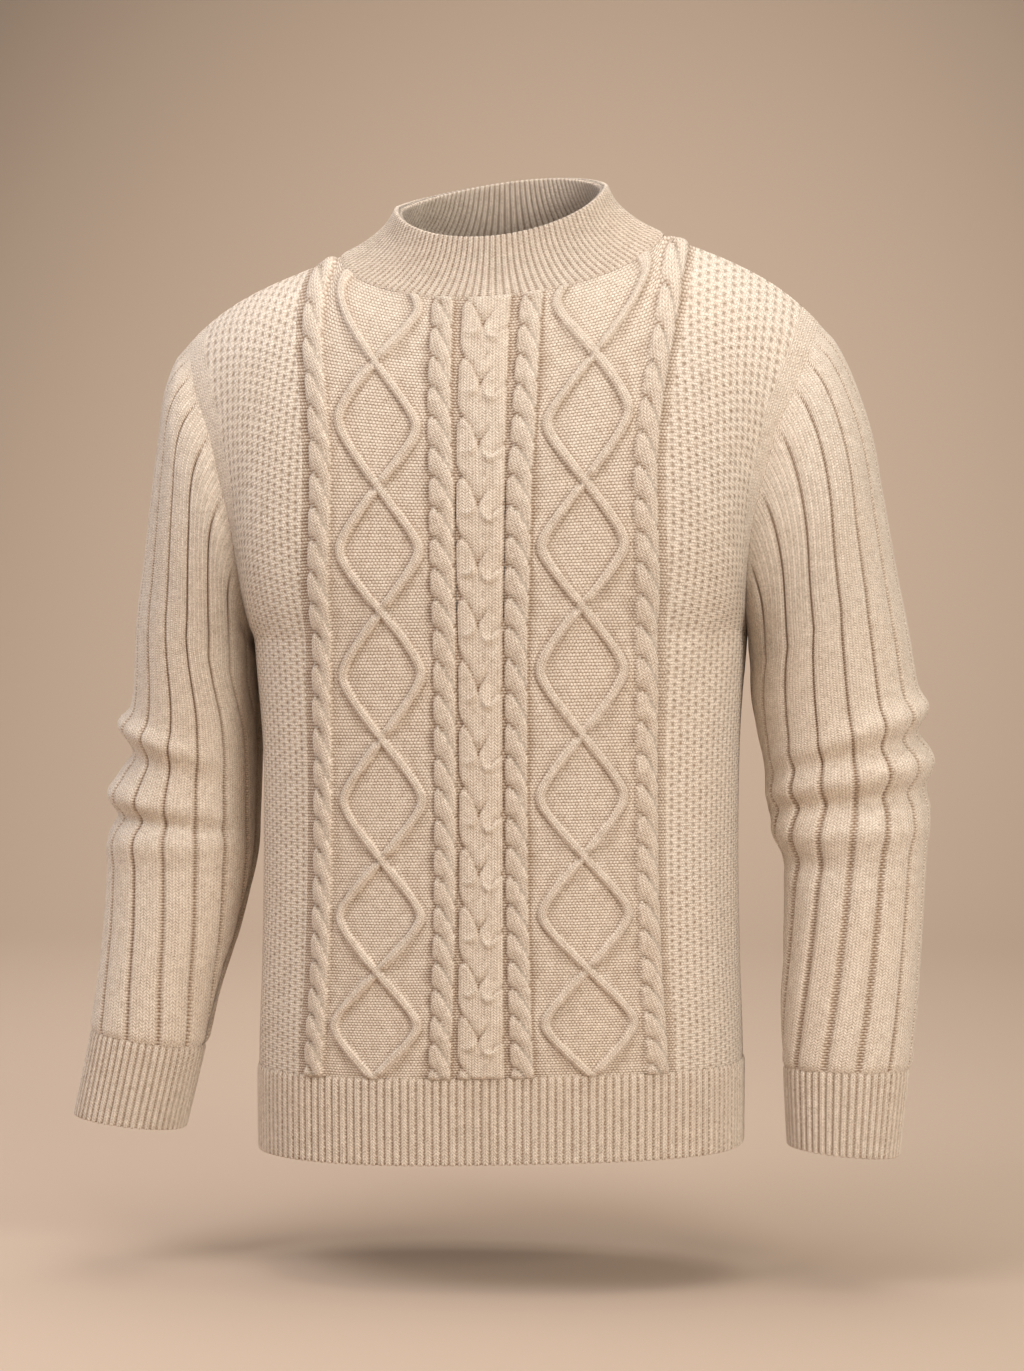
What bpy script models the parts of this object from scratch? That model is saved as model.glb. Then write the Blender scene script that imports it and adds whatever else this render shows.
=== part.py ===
"""A cable knit sweater, filled out as it is worn, with nobody in it.

The cloth is a thin knitted wall. Two panels, two set-in sleeves, a folded mock-neck collar, a ribbed
welt and two ribbed cuffs are separate pieces that meet at seams. Each piece is a loft through sections:
the tables below give one row for each section of the garment, in metres, +Z up, the front facing -Y.
The origin lies between the high points of the shoulders, where a wearer carries the garment.

Cables, the plait, the diamond lattices and the ribs are raised in the outer points of a wall; its
inside stays plain and has fewer points.
"""

import math

import bmesh
import bpy
import numpy as np

NAME = "cable_knit_sweater"

# ---------------------------------------------------------------- driving dimensions
CLOTH = 0.0026            # thickness of the knitted wall, without its relief
COLLAR_CLOTH = 0.0046     # the collar is folded double
SEAM_GAP = 0.0004         # between two pieces that are sewn together
SET_BACK = 0.0014         # how far the inside of a wall stays back from a seam

UNDERARM = -0.305         # height of the bottom of the armholes
WELT_TOP = -0.635         # height where the panels end and the ribbed welt begins
WELT_END = -0.699
PANEL_HALF = 0.250        # half the width of a panel, laid flat
NECK_HALF = 0.126         # half the width of the neckline
SHOULDER_TIP = (0.247, 0.004, -0.068)

UNDERARM_ROW = 151        # knitted rows from the welt to the underarm
TOP_ROW = 265             # and to the shoulder seam and the neckline
YOKE_ROWS = TOP_ROW - UNDERARM_ROW
RING_SQUARENESS = 2.5     # exponent of the body's rings: 2 is an ellipse
LEAN_REACH = 0.20         # distance from the centre line over which the tilt of the neck fades
SHOULDER_SWELL = {"front": 0.150, "back": 0.080}  # how full the shoulders are under their seams
CRISP_POWER = 8           # how fast the neckline's corners soften below it

ROPE_ROWS = 10            # knitted rows between two crossings of a rope cable
ROPE_START = 3.7          # row of its first crossing
ROPE_SIDE = 0.0084        # half the width of a rope cable
ROPE_HIGH = 0.0036
PLAIT_ROWS = 20           # rows of one repeat of the plait
PLAIT_START = 8.7         # row at which its strands are spread as at row 0 of a plait
PLAIT_SIDE = 0.0145
PLAIT_HIGH = 0.0036
DIAMOND_ROWS = 40         # rows of one diamond, from crossing to crossing
ROUNDING = 0.12           # how round its side corners are
RIDGE_SIDE = 0.0038       # half the width of a lattice ridge
RIDGE_HIGH = 0.0026

WELT_RIBS = 166
COLLAR_RIBS = 88
CUFF_RIBS = 32
FINE_RIB_HIGH = 0.0013
SLEEVE_RIB_PITCH = 0.025
SLEEVE_RIB_HIGH = 0.0016
SLEEVE_GROOVE = 0.0030    # from a groove's middle to the flat of a rib
RIB_CROWD = 0.0016        # least distance between a sleeve's points, where its ribs run out

BACK_COLUMNS = (0, 0.040, 0.075, 0.100, 0.116, 0.1225, NECK_HALF, 0.134, 0.150, 0.172, 0.197, 0.222)
SIDE_SHARES = (0.66, 0.78, 0.89)  # the front's plain columns, as shares of the way to the side seam
INNER_SHARES = {
    "front": (0, 0.10, 0.19, 0.32, 0.44, 0.50, 0.56) + SIDE_SHARES + (1,),
    "back": (0, 0.30, 0.46, 0.50, 0.66, 0.78, 0.888, 1),
}


# ---------------------------------------------------------------- tables
def table(columns, *rows):
    """A table with named columns: one row for each section, its first column rising."""
    return {name: np.array([row[i] for row in rows], float) for i, name in enumerate(columns.split())}


def read(rows, column, at):
    """Smooth value of a column: a cubic through the sections."""
    keys = next(iter(rows.values()))
    values = rows[column]
    slopes = np.gradient(values, keys)
    at = np.clip(at, keys[0], keys[-1])
    k = np.clip(np.searchsorted(keys, at, side="right") - 1, 0, len(keys) - 2)
    span = keys[k + 1] - keys[k]
    t = (at - keys[k]) / span
    rise = values[k + 1] - values[k]
    a = slopes[k] * span - rise
    b = -slopes[k + 1] * span + rise
    return values[k] + t * rise + t * (1 - t) * ((1 - t) * a + t * b)


BODY = table(
    "height half_width front_depth back_depth",
    (-0.699, 0.1885, 0.1210, 0.1130),
    (-0.635, 0.1888, 0.1225, 0.1140),
    (-0.550, 0.1862, 0.1215, 0.1120),
    (-0.450, 0.1850, 0.1215, 0.1105),
    (-0.380, 0.1865, 0.1235, 0.1125),
    (-0.305, 0.1920, 0.1260, 0.1160),
)

ROWS = table("row height", (0, -0.635), (40, -0.555), (80, -0.4705), (120, -0.380), (151, -0.305))

# centre line of each panel above the underarm: 0 is the underarm's height, 1 is the neckline
CENTRE = {
    "front": table("way depth", (0, 0.1260), (0.25, 0.1270), (0.5, 0.1225), (0.75, 0.1095), (1, 0.0850)),
    "back": table("way depth", (0, 0.1160), (0.25, 0.1225), (0.5, 0.1225), (0.75, 0.1080), (1, 0.0750)),
}

# half of the armhole, from the underarm (0) to the shoulder tip (1)
ARMHOLE = table(
    "way out forward height",
    (0.00, 0.1920, 0.0000, -0.305),
    (0.10, 0.1922, 0.0300, -0.298),
    (0.21, 0.1932, 0.0540, -0.280),
    (0.33, 0.1955, 0.0690, -0.252),
    (0.46, 0.2000, 0.0745, -0.218),
    (0.60, 0.2090, 0.0715, -0.182),
    (0.72, 0.2185, 0.0630, -0.148),
    (0.83, 0.2310, 0.0470, -0.118),
    (0.92, 0.2415, 0.0240, -0.088),
    (1.00, 0.2470, -0.004, -0.068),
)

# flat half width of a panel beside the armhole, which scoops into it
SCOOP = table("way half", (0, 0.250), (0.1, 0.240), (0.3, 0.228), (0.6, 0.229), (0.85, 0.242), (1, 0.250))

# front and back of the neckline and of the collar's rim
NECKLINE = {"front": {"depth": 0.085, "height": -0.050}, "back": {"depth": 0.075, "height": 0.012}}
NECK_SIDE = {"depth": -0.004, "height": 0.000}

# the collar from its seam (0) to its rim (1): how far in, and how high, between seam and rim
COLLAR = table("way inward upward", (0, 0, 0), (0.25, 0.34, 0.20), (0.5, 0.63, 0.43), (0.75, 0.86, 0.70), (1, 1, 1))
RIM_HALF = 0.0822
RIM_SIDE = {"depth": -0.001, "height": 0.0365}
RIM = {"front": {"depth": 0.0700, "height": -0.003}, "back": {"depth": 0.0600, "height": 0.0555}}

# where the lines of the front's pattern lie, outward from the centre line, as the cloth stretches
PATTERN = table(
    "height rope_in diamond_in diamond_out rope_out",
    (-0.635, 0.0305, 0.0480, 0.1135, 0.1300),
    (-0.590, 0.0290, 0.0472, 0.1120, 0.1275),
    (-0.510, 0.0272, 0.0453, 0.1090, 0.1250),
    (-0.420, 0.0265, 0.0440, 0.1055, 0.1235),
    (-0.345, 0.0262, 0.0437, 0.1040, 0.1215),
    (-0.273, 0.0254, 0.0412, 0.0985, 0.1158),
    (-0.205, 0.0254, 0.0412, 0.0952, 0.1105),
    (-0.170, 0.0258, 0.0425, 0.0957, 0.1105),
    (-0.130, 0.0280, 0.0440, 0.0990, 0.1145),
    (-0.040, 0.0322, 0.0508, 0.1140, 0.1335),
    (0.000, 0.0338, 0.0528, 0.1175, 0.1385),
)

# how much the right side sits higher than the left, up the garment
LEAN = table("height lift", (-0.70, 0.035), (-0.30, 0.030), (-0.075, 0.040), (0.0, 0.071), (0.06, 0.115))

# each sleeve's sections down the arm: the outer and the inner edge of the section seen from the
# front, half its depth and how far it lies behind the shoulder; the first section is the armhole
SLEEVE_COLUMNS = "along outer_x outer_z inner_x inner_z depth back"
SLEEVES = {
    "right": table(
        SLEEVE_COLUMNS,
        (0.000, 0.2470, -0.0680, 0.1925, -0.3050, 0.0745, 0.000),
        (0.030, 0.2625, -0.0930, 0.1930, -0.3075, 0.0755, 0.000),
        (0.085, 0.2830, -0.1450, 0.1945, -0.3130, 0.0735, 0.001),
        (0.143, 0.2940, -0.2013, 0.1962, -0.3220, 0.0705, 0.003),
        (0.206, 0.3052, -0.2629, 0.1970, -0.3360, 0.0670, 0.005),
        (0.247, 0.3132, -0.3029, 0.1975, -0.3540, 0.0645, 0.007),
        (0.289, 0.3200, -0.3444, 0.2015, -0.3780, 0.0625, 0.008),
        (0.330, 0.3262, -0.3850, 0.2075, -0.4050, 0.0610, 0.008),
        (0.370, 0.3300, -0.4250, 0.2095, -0.4370, 0.0590, 0.006),
        (0.412, 0.3275, -0.4666, 0.2200, -0.4740, 0.0565, 0.002),
        (0.485, 0.3235, -0.5390, 0.2228, -0.5420, 0.0520, -0.007),
        (0.530, 0.3208, -0.5820, 0.2212, -0.5840, 0.0485, -0.014),
        (0.583, 0.3160, -0.6350, 0.2222, -0.6340, 0.0440, -0.021),
        (0.650, 0.3090, -0.6996, 0.2253, -0.6921, 0.0400, -0.028),
    ),
    "left": table(
        SLEEVE_COLUMNS,
        (0.000, 0.2470, -0.0680, 0.1925, -0.3050, 0.0745, 0.000),
        (0.030, 0.2600, -0.0940, 0.1930, -0.3075, 0.0765, 0.000),
        (0.085, 0.2675, -0.1480, 0.1945, -0.3130, 0.0775, 0.002),
        (0.130, 0.2730, -0.1946, 0.1955, -0.3230, 0.0775, 0.005),
        (0.178, 0.2790, -0.2406, 0.1962, -0.3360, 0.0765, 0.008),
        (0.223, 0.2858, -0.2858, 0.1965, -0.3540, 0.0745, 0.010),
        (0.289, 0.2905, -0.3520, 0.1968, -0.3860, 0.0705, 0.012),
        (0.330, 0.2975, -0.3920, 0.1970, -0.4120, 0.0670, 0.012),
        (0.365, 0.3050, -0.4284, 0.1975, -0.4420, 0.0630, 0.010),
        (0.415, 0.3105, -0.4790, 0.1990, -0.4800, 0.0590, 0.006),
        (0.468, 0.3130, -0.5330, 0.2110, -0.5340, 0.0545, -0.001),
        (0.515, 0.3175, -0.5813, 0.2245, -0.5800, 0.0500, -0.008),
        (0.550, 0.3218, -0.6138, 0.2345, -0.6270, 0.0450, -0.014),
        (0.618, 0.3340, -0.6790, 0.2480, -0.6895, 0.0400, -0.022),
    ),
}
CUFF_START = {"right": 0.583, "left": 0.550}
CUFF_END = {"right": 0.650, "left": 0.618}
ARMHOLE_FADE = 0.16       # length over which the armhole's shape turns into a plain section
BICEP = 0.20              # below this length a rib keeps its distance from the sleeve's centre line

# where a rib that lies at a place round the sleeve meets the armhole, as it runs straight up the arm
SEAM_PLACE = table(
    "round seam",
    (0, 0), (0.20, 0.095), (0.32, 0.17), (0.44, 0.28), (0.53, 0.40), (0.63, 0.54), (0.72, 0.67), (0.80, 0.79),
    (0.90, 0.91), (1, 1),
)

# folds of each sleeve: length down the arm, where round it (0 outer edge, 0.5 front, 1 underarm,
# negative behind), how far it reaches round, how high it stands, half its width and its slant
FOLD_COLUMNS = "along round reach high wide slant"
FOLDS = {
    "right": table(
        FOLD_COLUMNS,
        (0.308, 0.15, 0.75, 0.0045, 0.0110, 0.020),
        (0.327, 0.20, 0.70, -0.0040, 0.0080, 0.020),
        (0.349, 0.25, 0.70, 0.0042, 0.0110, 0.012),
        (0.370, 0.45, 0.60, -0.0060, 0.0085, 0.006),
        (0.396, 0.50, 0.55, 0.0035, 0.0110, -0.006),
        (0.420, 0.70, 0.35, -0.0025, 0.0100, -0.020),
    ),
    "left": table(
        FOLD_COLUMNS,
        (0.312, 0.05, 0.70, 0.0058, 0.0100, 0.016),
        (0.334, 0.10, 0.65, -0.0045, 0.0100, 0.014),
        (0.366, 0.15, 0.65, 0.0042, 0.0110, 0.008),
        (0.383, 0.30, 0.55, -0.0045, 0.0075, 0.004),
        (0.404, 0.40, 0.50, 0.0028, 0.0120, -0.008),
    ),
}


# ---------------------------------------------------------------- the form of the body
def ring_turns():
    """Turn round a quarter of the body's ring for equal steps along it."""
    turn = np.linspace(0, math.pi / 2, 400)
    power = 2 / RING_SQUARENESS
    x = 0.188 * np.sin(turn) ** power
    y = 0.121 * np.cos(turn) ** power
    way = np.concatenate([[0], np.cumsum(np.hypot(np.diff(x), np.diff(y)))])
    return way / way[-1], turn


RING_WAY, RING_TURN = ring_turns()


def ring(across, height, face):
    """Point of the body's ring: across runs from 0 at the centre line to 1 at the side seam."""
    turn = np.interp(across, RING_WAY, RING_TURN)
    power = 2 / RING_SQUARENESS
    x = read(BODY, "half_width", height) * np.sin(turn) ** power
    depth = read(BODY, face + "_depth", height) * np.cos(turn) ** power
    return x, depth


def neck_curve(x, half, side, middle):
    """Depth and height of a neck loop at a distance x from the centre line."""
    bow = np.sqrt(np.clip(1 - (x / half) ** 2, 0, 1))
    depth = side["depth"] + (middle["depth"] - side["depth"]) * bow
    height = side["height"] + (middle["height"] - side["height"]) * bow ** 1.15
    return depth, height


def top_edge(across, way, face):
    """Line that a panel's rows end in: the neckline and shoulder seam at way 1, softer lower down."""
    flat = across * PANEL_HALF
    beyond = np.clip((flat - NECK_HALF) / (PANEL_HALF - NECK_HALF), 0, 1)
    x = np.minimum(flat, NECK_HALF) + beyond * (SHOULDER_TIP[0] - NECK_HALF)
    depth, height = neck_curve(np.minimum(flat, NECK_HALF), NECK_HALF, side_of(face), NECKLINE[face])
    height = height + SHOULDER_TIP[2] * (0.68 * beyond + 0.32 * beyond ** 4)
    middle, tip = NECKLINE[face], SHOULDER_TIP[2]
    soft_depth = edge_tip(face) + (middle["depth"] - edge_tip(face)) * (1 - across ** 2) ** 1.5
    soft_height = middle["height"] + (tip - middle["height"]) * across ** 2
    soft_height = soft_height + SHOULDER_SWELL[face] * across ** 2 * (1 - across ** 2)
    crisp = way ** CRISP_POWER
    return x, soft_depth + (depth - soft_depth) * crisp, soft_height + (height - soft_height) * crisp


def facing(face):
    """-1 for the front, whose depth runs toward -Y, and 1 for the back."""
    return -1 if face == "front" else 1


def side_of(face):
    """Side point of the neckline, with its depth measured toward the face."""
    return {"depth": -facing(face) * NECK_SIDE["depth"], "height": NECK_SIDE["height"]}


def lean(x, z):
    """Lift of a point by the tilt of the worn garment."""
    return read(LEAN, "lift", z) * x / (1 + (x / LEAN_REACH) ** 2)


def panel_point(face, flat, row):
    """Point of a panel's cloth: flat metres from the centre line, and the knitted row."""
    flat, row = np.broadcast_arrays(np.asarray(flat, float), np.asarray(row, float))
    sign = np.where(flat < 0, -1.0, 1.0)
    low_height = read(ROWS, "height", np.minimum(row, UNDERARM_ROW))
    way = np.clip((row - UNDERARM_ROW) / YOKE_ROWS, 0, 1)
    across = np.clip(np.abs(flat) / read(SCOOP, "half", way), 0, 1)

    ring_x, ring_y = ring(across, low_height, face)
    top_x, top_y, top_z = top_edge(across, way, face)
    edge_x, edge_y, edge_z = (read(ARMHOLE, column, way) for column in ("out", "forward", "height"))
    if face == "back":
        edge_y = edge_y + 2 * SHOULDER_TIP[1] * way ** 6
    middle_y = read(CENTRE[face], "depth", way)
    middle_z = (1 - way) * low_height + way * NECKLINE[face]["height"]
    tip_x, _, tip_z = SHOULDER_TIP
    tip_y = edge_tip(face)

    # from the ring at the underarm, whose bow runs from 1 at the centre line to 0 at the side,
    # to the shoulder seam; in between, each row still ends at the centre line and at the armhole
    bow = ring_y / read(BODY, face + "_depth", low_height)
    top_bow = (top_y - tip_y) / (NECKLINE[face]["depth"] - tip_y)
    ease = way * way * (3 - 2 * way)
    late = way ** 2.6
    yoke = row > UNDERARM_ROW
    x = (1 - ease) * ring_x + ease * top_x
    x = x + yoke * across ** 3 * (edge_x - (1 - ease) * ARMHOLE["out"][0] - ease * tip_x)
    y = edge_y + (middle_y - edge_y) * ((1 - late) * bow + late * top_bow)
    z = edge_z + (middle_z - edge_z) * bow
    top_z = top_z + (1 - across ** 2) * (middle_z - NECKLINE[face]["height"]) + across ** 2 * (edge_z - tip_z)
    z = np.where(yoke, (1 - way) * z + way * top_z, low_height)
    y = np.where(yoke, y, ring_y)
    x = x * sign
    return np.stack([x, facing(face) * y, z + lean(x, z)], -1)


def edge_tip(face):
    """Depth of the shoulder tip, toward the face."""
    return facing(face) * SHOULDER_TIP[1]


def pattern_height(row):
    """Height that the pattern's spread is read at."""
    way = np.clip((row - UNDERARM_ROW) / YOKE_ROWS, 0, 1)
    return np.where(row < UNDERARM_ROW, read(ROWS, "height", row), UNDERARM * (1 - way))


# ---------------------------------------------------------------- relief of the front
def rope(flat, row, centre):
    """Height of a rope cable: two strands that wind round each other."""
    turn = math.pi * (row - ROPE_START) / ROPE_ROWS
    strand = 0.52 * ROPE_SIDE
    high = np.zeros(np.broadcast(flat, row).shape)
    for side in (1, -1):
        off = (flat - centre - side * strand * np.cos(turn)) / strand
        crown = np.sqrt(np.clip(1 - off * off, 0, 1))
        high = np.maximum(high, ROPE_HIGH * (0.62 * crown + 0.38 * side * np.sin(turn) * crown))
    return high


def plait(flat, row):
    """Height of the plait: three strands that cross in turn."""
    high = np.zeros(np.broadcast(flat, row).shape)
    swing = 0.62 * PLAIT_SIDE
    strand = 0.40 * PLAIT_SIDE
    for number in range(3):
        turn = 2 * math.pi * ((row - PLAIT_START) / (3 * PLAIT_ROWS) + number / 3)
        off = (flat - swing * np.sin(turn)) / strand
        crown = np.sqrt(np.clip(1 - off * off, 0, 1))
        high = np.maximum(high, PLAIT_HIGH * (0.66 + 0.34 * np.sin(2 * turn)) * crown)
    return high


def diamond(row):
    """How far the lattice has opened: 0 at a crossing, 1 where its ridges are farthest apart."""
    wave = np.abs(np.mod(row / DIAMOND_ROWS + 0.5, 1.0) - 0.5) * 2
    return 1 - (np.hypot(1 - wave, ROUNDING) - ROUNDING) / (math.hypot(1, ROUNDING) - ROUNDING)


# ---------------------------------------------------------------- the form of the sleeves
def armhole_loop(place):
    """Point of the armhole; place runs from 0 at the shoulder tip to 1 or -1 at the underarm."""
    way = 1 - np.abs(place)
    x = read(ARMHOLE, "out", way)
    forward = read(ARMHOLE, "forward", way)
    z = read(ARMHOLE, "height", way)
    y = np.where(place >= 0, -forward, forward + 2 * SHOULDER_TIP[1] * way ** 6)
    return np.stack([x, y, z], -1)


def sleeve_section(side, place, along):
    """Point of a plain sleeve section, without the shape of the armhole."""
    rows = SLEEVES[side]
    turn = math.pi * place
    outer_x, outer_z = read(rows, "outer_x", along), read(rows, "outer_z", along)
    inner_x, inner_z = read(rows, "inner_x", along), read(rows, "inner_z", along)
    part = (1 + np.cos(turn)) / 2
    x = inner_x + (outer_x - inner_x) * part
    z = inner_z + (outer_z - inner_z) * part
    y = read(rows, "back", along) - read(rows, "depth", along) * np.sign(place) * np.abs(np.sin(turn)) ** 0.92
    return np.stack([x, y, z], -1)


def fold_height(side, place, along):
    """Height of the sleeve's folds: soft ridges and troughs that run round the elbow."""
    rows = FOLDS[side]
    high = np.zeros(np.broadcast(place, along).shape)
    for k in range(len(rows["along"])):
        off = np.mod(place - rows["round"][k] + 1, 2) - 1
        middle = rows["along"][k] + rows["slant"][k] * off
        shape = np.exp(-((along - middle) / rows["wide"][k]) ** 2)
        reach = np.clip(1 - np.abs(off) / rows["reach"][k], 0, 1)
        high = high + rows["high"][k] * shape * reach ** 0.8
    return high


def sleeve_point(side, place, along):
    """Point of a sleeve or cuff: place round it, and metres down the arm from the shoulder tip."""
    place, along = np.broadcast_arrays(np.asarray(place, float), np.asarray(along, float))
    plain = sleeve_section(side, place, along)
    start = sleeve_section(side, place, np.zeros_like(along))
    fade = np.clip(1 - along / ARMHOLE_FADE, 0, 1)
    point = plain + fade[..., None] ** 2 * (armhole_loop(seam_place(place)) - start)
    if side == "left":
        point = point * [-1, 1, 1]
    point[..., 2] += lean(point[..., 0], point[..., 2]) * fade
    return point


def seam_place(place):
    """Place on the armhole of what lies at a place round the sleeve."""
    return np.sign(place) * read(SEAM_PLACE, "seam", np.abs(place))


def level(side, along, push):
    """A push without its share along the sleeve, so that it keeps a section's plane."""
    rows = SLEEVES[side]
    down = np.array([read(rows, "outer_z", along) - read(rows, "inner_z", along), 0.0,
                     read(rows, "inner_x", along) - read(rows, "outer_x", along)])
    down = down / np.linalg.norm(down) * [1 if side == "right" else -1, 1, 1]
    return push - (push @ down)[:, None] * down


def half_girth(side, along):
    """Half the way round a sleeve section."""
    rows = SLEEVES[side]
    a = np.hypot(
        read(rows, "outer_x", along) - read(rows, "inner_x", along),
        read(rows, "outer_z", along) - read(rows, "inner_z", along),
    ) / 2
    b = read(rows, "depth", along)
    return math.pi / 2 * (3 * (a + b) - np.sqrt((3 * a + b) * (a + 3 * b)))


# ---------------------------------------------------------------- the form of the collar
def neck_knots(face):
    """Distances from the centre line of a panel's points along its neckline."""
    if face == "back":
        return np.array([flat for flat in BACK_COLUMNS if flat < NECK_HALF] + [NECK_HALF])
    columns, _ = front_columns(TOP_ROW)
    return np.array([flat for flat, _ in columns if flat < NECK_HALF] + [NECK_HALF])


def neck_seam(x, face):
    """Depth and height of the collar's seam, which runs straight between the panel's points."""
    knots = neck_knots(face)
    depth, height = neck_curve(knots, NECK_HALF, side_of(face), NECKLINE[face])
    return np.interp(x, knots, depth), np.interp(x, knots, height)


def collar_point(place, way):
    """Point of the collar; place 0 is the centre front, 1 and -1 the centre back."""
    place, way = np.broadcast_arrays(np.asarray(place, float), np.asarray(way, float))
    turn = math.pi * place
    x_share = np.sin(turn)
    inward = read(COLLAR, "inward", way)
    upward = read(COLLAR, "upward", way)
    point = []
    for face in ("front", "back"):
        rim_side = {"depth": -facing(face) * RIM_SIDE["depth"], "height": RIM_SIDE["height"]}
        seam_y, seam_z = neck_seam(np.abs(x_share) * NECK_HALF, face)
        rim_y, rim_z = neck_curve(np.abs(x_share) * RIM_HALF, RIM_HALF, rim_side, RIM[face])
        y = facing(face) * (seam_y + (rim_y - seam_y) * inward)
        z = seam_z + (rim_z - seam_z) * upward
        point.append((y, z))
    front = np.cos(turn) >= 0
    x = x_share * (NECK_HALF + (RIM_HALF - NECK_HALF) * inward)
    y = np.where(front, point[0][0], point[1][0])
    z = np.where(front, point[0][1], point[1][1])
    return np.stack([x, y, z + lean(x, z)], -1)


# ---------------------------------------------------------------- walls
def outward(form, u, v, step_u, step_v, limits_u, limits_v):
    """Unit normals of a form at (u, v), measured between nearby points inside its limits."""
    u_low, u_high = np.clip(u - step_u, *limits_u), np.clip(u + step_u, *limits_u)
    v_low, v_high = np.clip(v - step_v, *limits_v), np.clip(v + step_v, *limits_v)
    along_u = form(u_high, v) - form(u_low, v)
    along_v = form(u, v_high) - form(u, v_low)
    normal = np.cross(along_u, along_v)
    return normal / np.linalg.norm(normal, axis=-1, keepdims=True)


class Wall:
    """Points and triangles of one piece of cloth."""

    def __init__(self):
        self.points = []
        self.faces = []

    def line(self, places, points):
        """Adds a row of points; returns it as (place, number) pairs for sew()."""
        start = len(self.points)
        self.points.extend(np.asarray(points).tolist())
        return [(float(place), start + k) for k, place in enumerate(places)]

    def sew(self, near, far):
        """Fills the strip between two rows of points with triangles, in step with their places."""
        i = j = 0
        while i < len(near) - 1 or j < len(far) - 1:
            next_near = near[i][0] + near[i + 1][0] if i < len(near) - 1 else math.inf
            next_far = far[j][0] + far[j + 1][0] if j < len(far) - 1 else math.inf
            if next_near <= next_far + 1e-9:
                self.faces.append((near[i][1], near[i + 1][1], far[j][1]))
                i += 1
            else:
                self.faces.append((far[j][1], near[i][1], far[j + 1][1]))
                j += 1

    def finish(self, name, collection, material):
        mesh = bpy.data.meshes.new(name)
        mesh.from_pydata(self.points, [], self.faces)
        shape = bmesh.new()
        shape.from_mesh(mesh)
        bmesh.ops.recalc_face_normals(shape, faces=shape.faces)
        shape.to_mesh(mesh)
        shape.free()
        mesh.materials.append(material)
        mesh.shade_smooth()
        mesh.set_sharp_from_angle(angle=math.radians(22))
        piece = bpy.data.objects.new(name, mesh)
        collection.objects.link(piece)
        return piece


def closed(line, whole):
    """A row of points with its first one repeated at the end of the round."""
    return line + [(line[0][0] + whole, line[0][1])]


def tube(wall, outer_rings, inner_rings, whole):
    """Skins a tube: rings from one end to the other outside, and the same way inside."""
    outer = [closed(r, whole) for r in outer_rings]
    inner = [closed(r, whole) for r in inner_rings]
    for near, far in zip(outer, outer[1:]):
        wall.sew(near, far)
    for near, far in zip(inner, inner[1:]):
        wall.sew(far, near)
    wall.sew(inner[0], outer[0])
    wall.sew(outer[-1], inner[-1])


# ---------------------------------------------------------------- panels
def sleeve_places():
    """Where a sleeve's points lie round the armhole: three for each rib, none at the underarm seam."""
    half = half_girth("right", BICEP)
    ribs = int(half / SLEEVE_RIB_PITCH + 0.5)
    metres = []
    for k in range(ribs + 1):
        groove = (k + 0.5) * SLEEVE_RIB_PITCH
        metres += [groove - SLEEVE_GROOVE, groove, groove + SLEEVE_GROOVE]
    metres = [m for m in metres if m < half - 0.5 * SLEEVE_GROOVE]
    return np.array(metres) / half, half


SLEEVE_PLACES, BICEP_HALF = sleeve_places()


def armhole_rows():
    """Knitted rows at which the sleeve's points meet the panel's edge."""
    ways = 1 - seam_place(SLEEVE_PLACES)
    return UNDERARM_ROW + np.sort(ways) * YOKE_ROWS


def fine_rows():
    """Three rows of points for each crossing of the rope cables."""
    step = ROPE_ROWS / 3
    first = ROPE_START - step * int(ROPE_START / step)
    rows = np.arange(first + step, TOP_ROW - 0.4 * step, step)
    return np.concatenate([[0], rows, [TOP_ROW]])


def coarse_rows():
    """Rows of the plain parts of a panel."""
    low = np.linspace(0, UNDERARM_ROW, 11)
    shares = np.linspace(0, 1, 11)[1:]
    return np.concatenate([low, UNDERARM_ROW + YOKE_ROWS * (1.25 * shares - 0.25 * shares ** 3)])


def edge_rows():
    """Rows of a panel's side: plain down the side seam, in step with the sleeve at the armhole."""
    low = np.linspace(0, UNDERARM_ROW, 11)
    return np.concatenate([low, armhole_rows(), [TOP_ROW]])


def front_columns(row):
    """Distances from the centre line of the front's points, and their relief, at a knitted row."""
    height = pattern_height(row)
    rope_in, inner, outer, rope_out = (float(read(PATTERN, c, height)) for c in list(PATTERN)[1:])
    stretch = rope_in / float(PATTERN["rope_in"].min())
    plait_side = PLAIT_SIDE * (0.5 + 0.5 * stretch)
    middle = (inner + outer) / 2
    swing = (outer - inner) / 2 * float(diamond(row))
    foot = RIDGE_SIDE
    columns = [(0.0, "plait"), (0.30 * plait_side, "plait"), (0.66 * plait_side, "plait"), (plait_side, "")]
    columns += [(rope_in + ROPE_SIDE * k, "" if abs(k) == 1 else "rope_in") for k in (-1, -0.34, 0.34, 1)]
    ridges = [middle - swing - foot, middle - swing, middle - swing + foot]
    ridges += [middle + swing - foot, middle + swing, middle + swing + foot]
    if swing < foot:
        ridges[2], ridges[3] = middle - 0.0008, middle + 0.0008
        ridges[1], ridges[4] = middle - 0.0020, middle + 0.0020
    columns += list(zip(ridges, ("", "ridge", "", "", "ridge", "")))
    gutter = max(outer + foot, ridges[-1]) + 0.0018
    columns.append((NECK_HALF if row >= TOP_ROW else gutter, ""))
    columns += [(rope_out + ROPE_SIDE * k, "" if abs(k) == 1 else "rope_out") for k in (-1, -0.34, 0.34, 1)]
    return columns, {"rope_in": rope_in, "rope_out": rope_out, "swing": swing}


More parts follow.
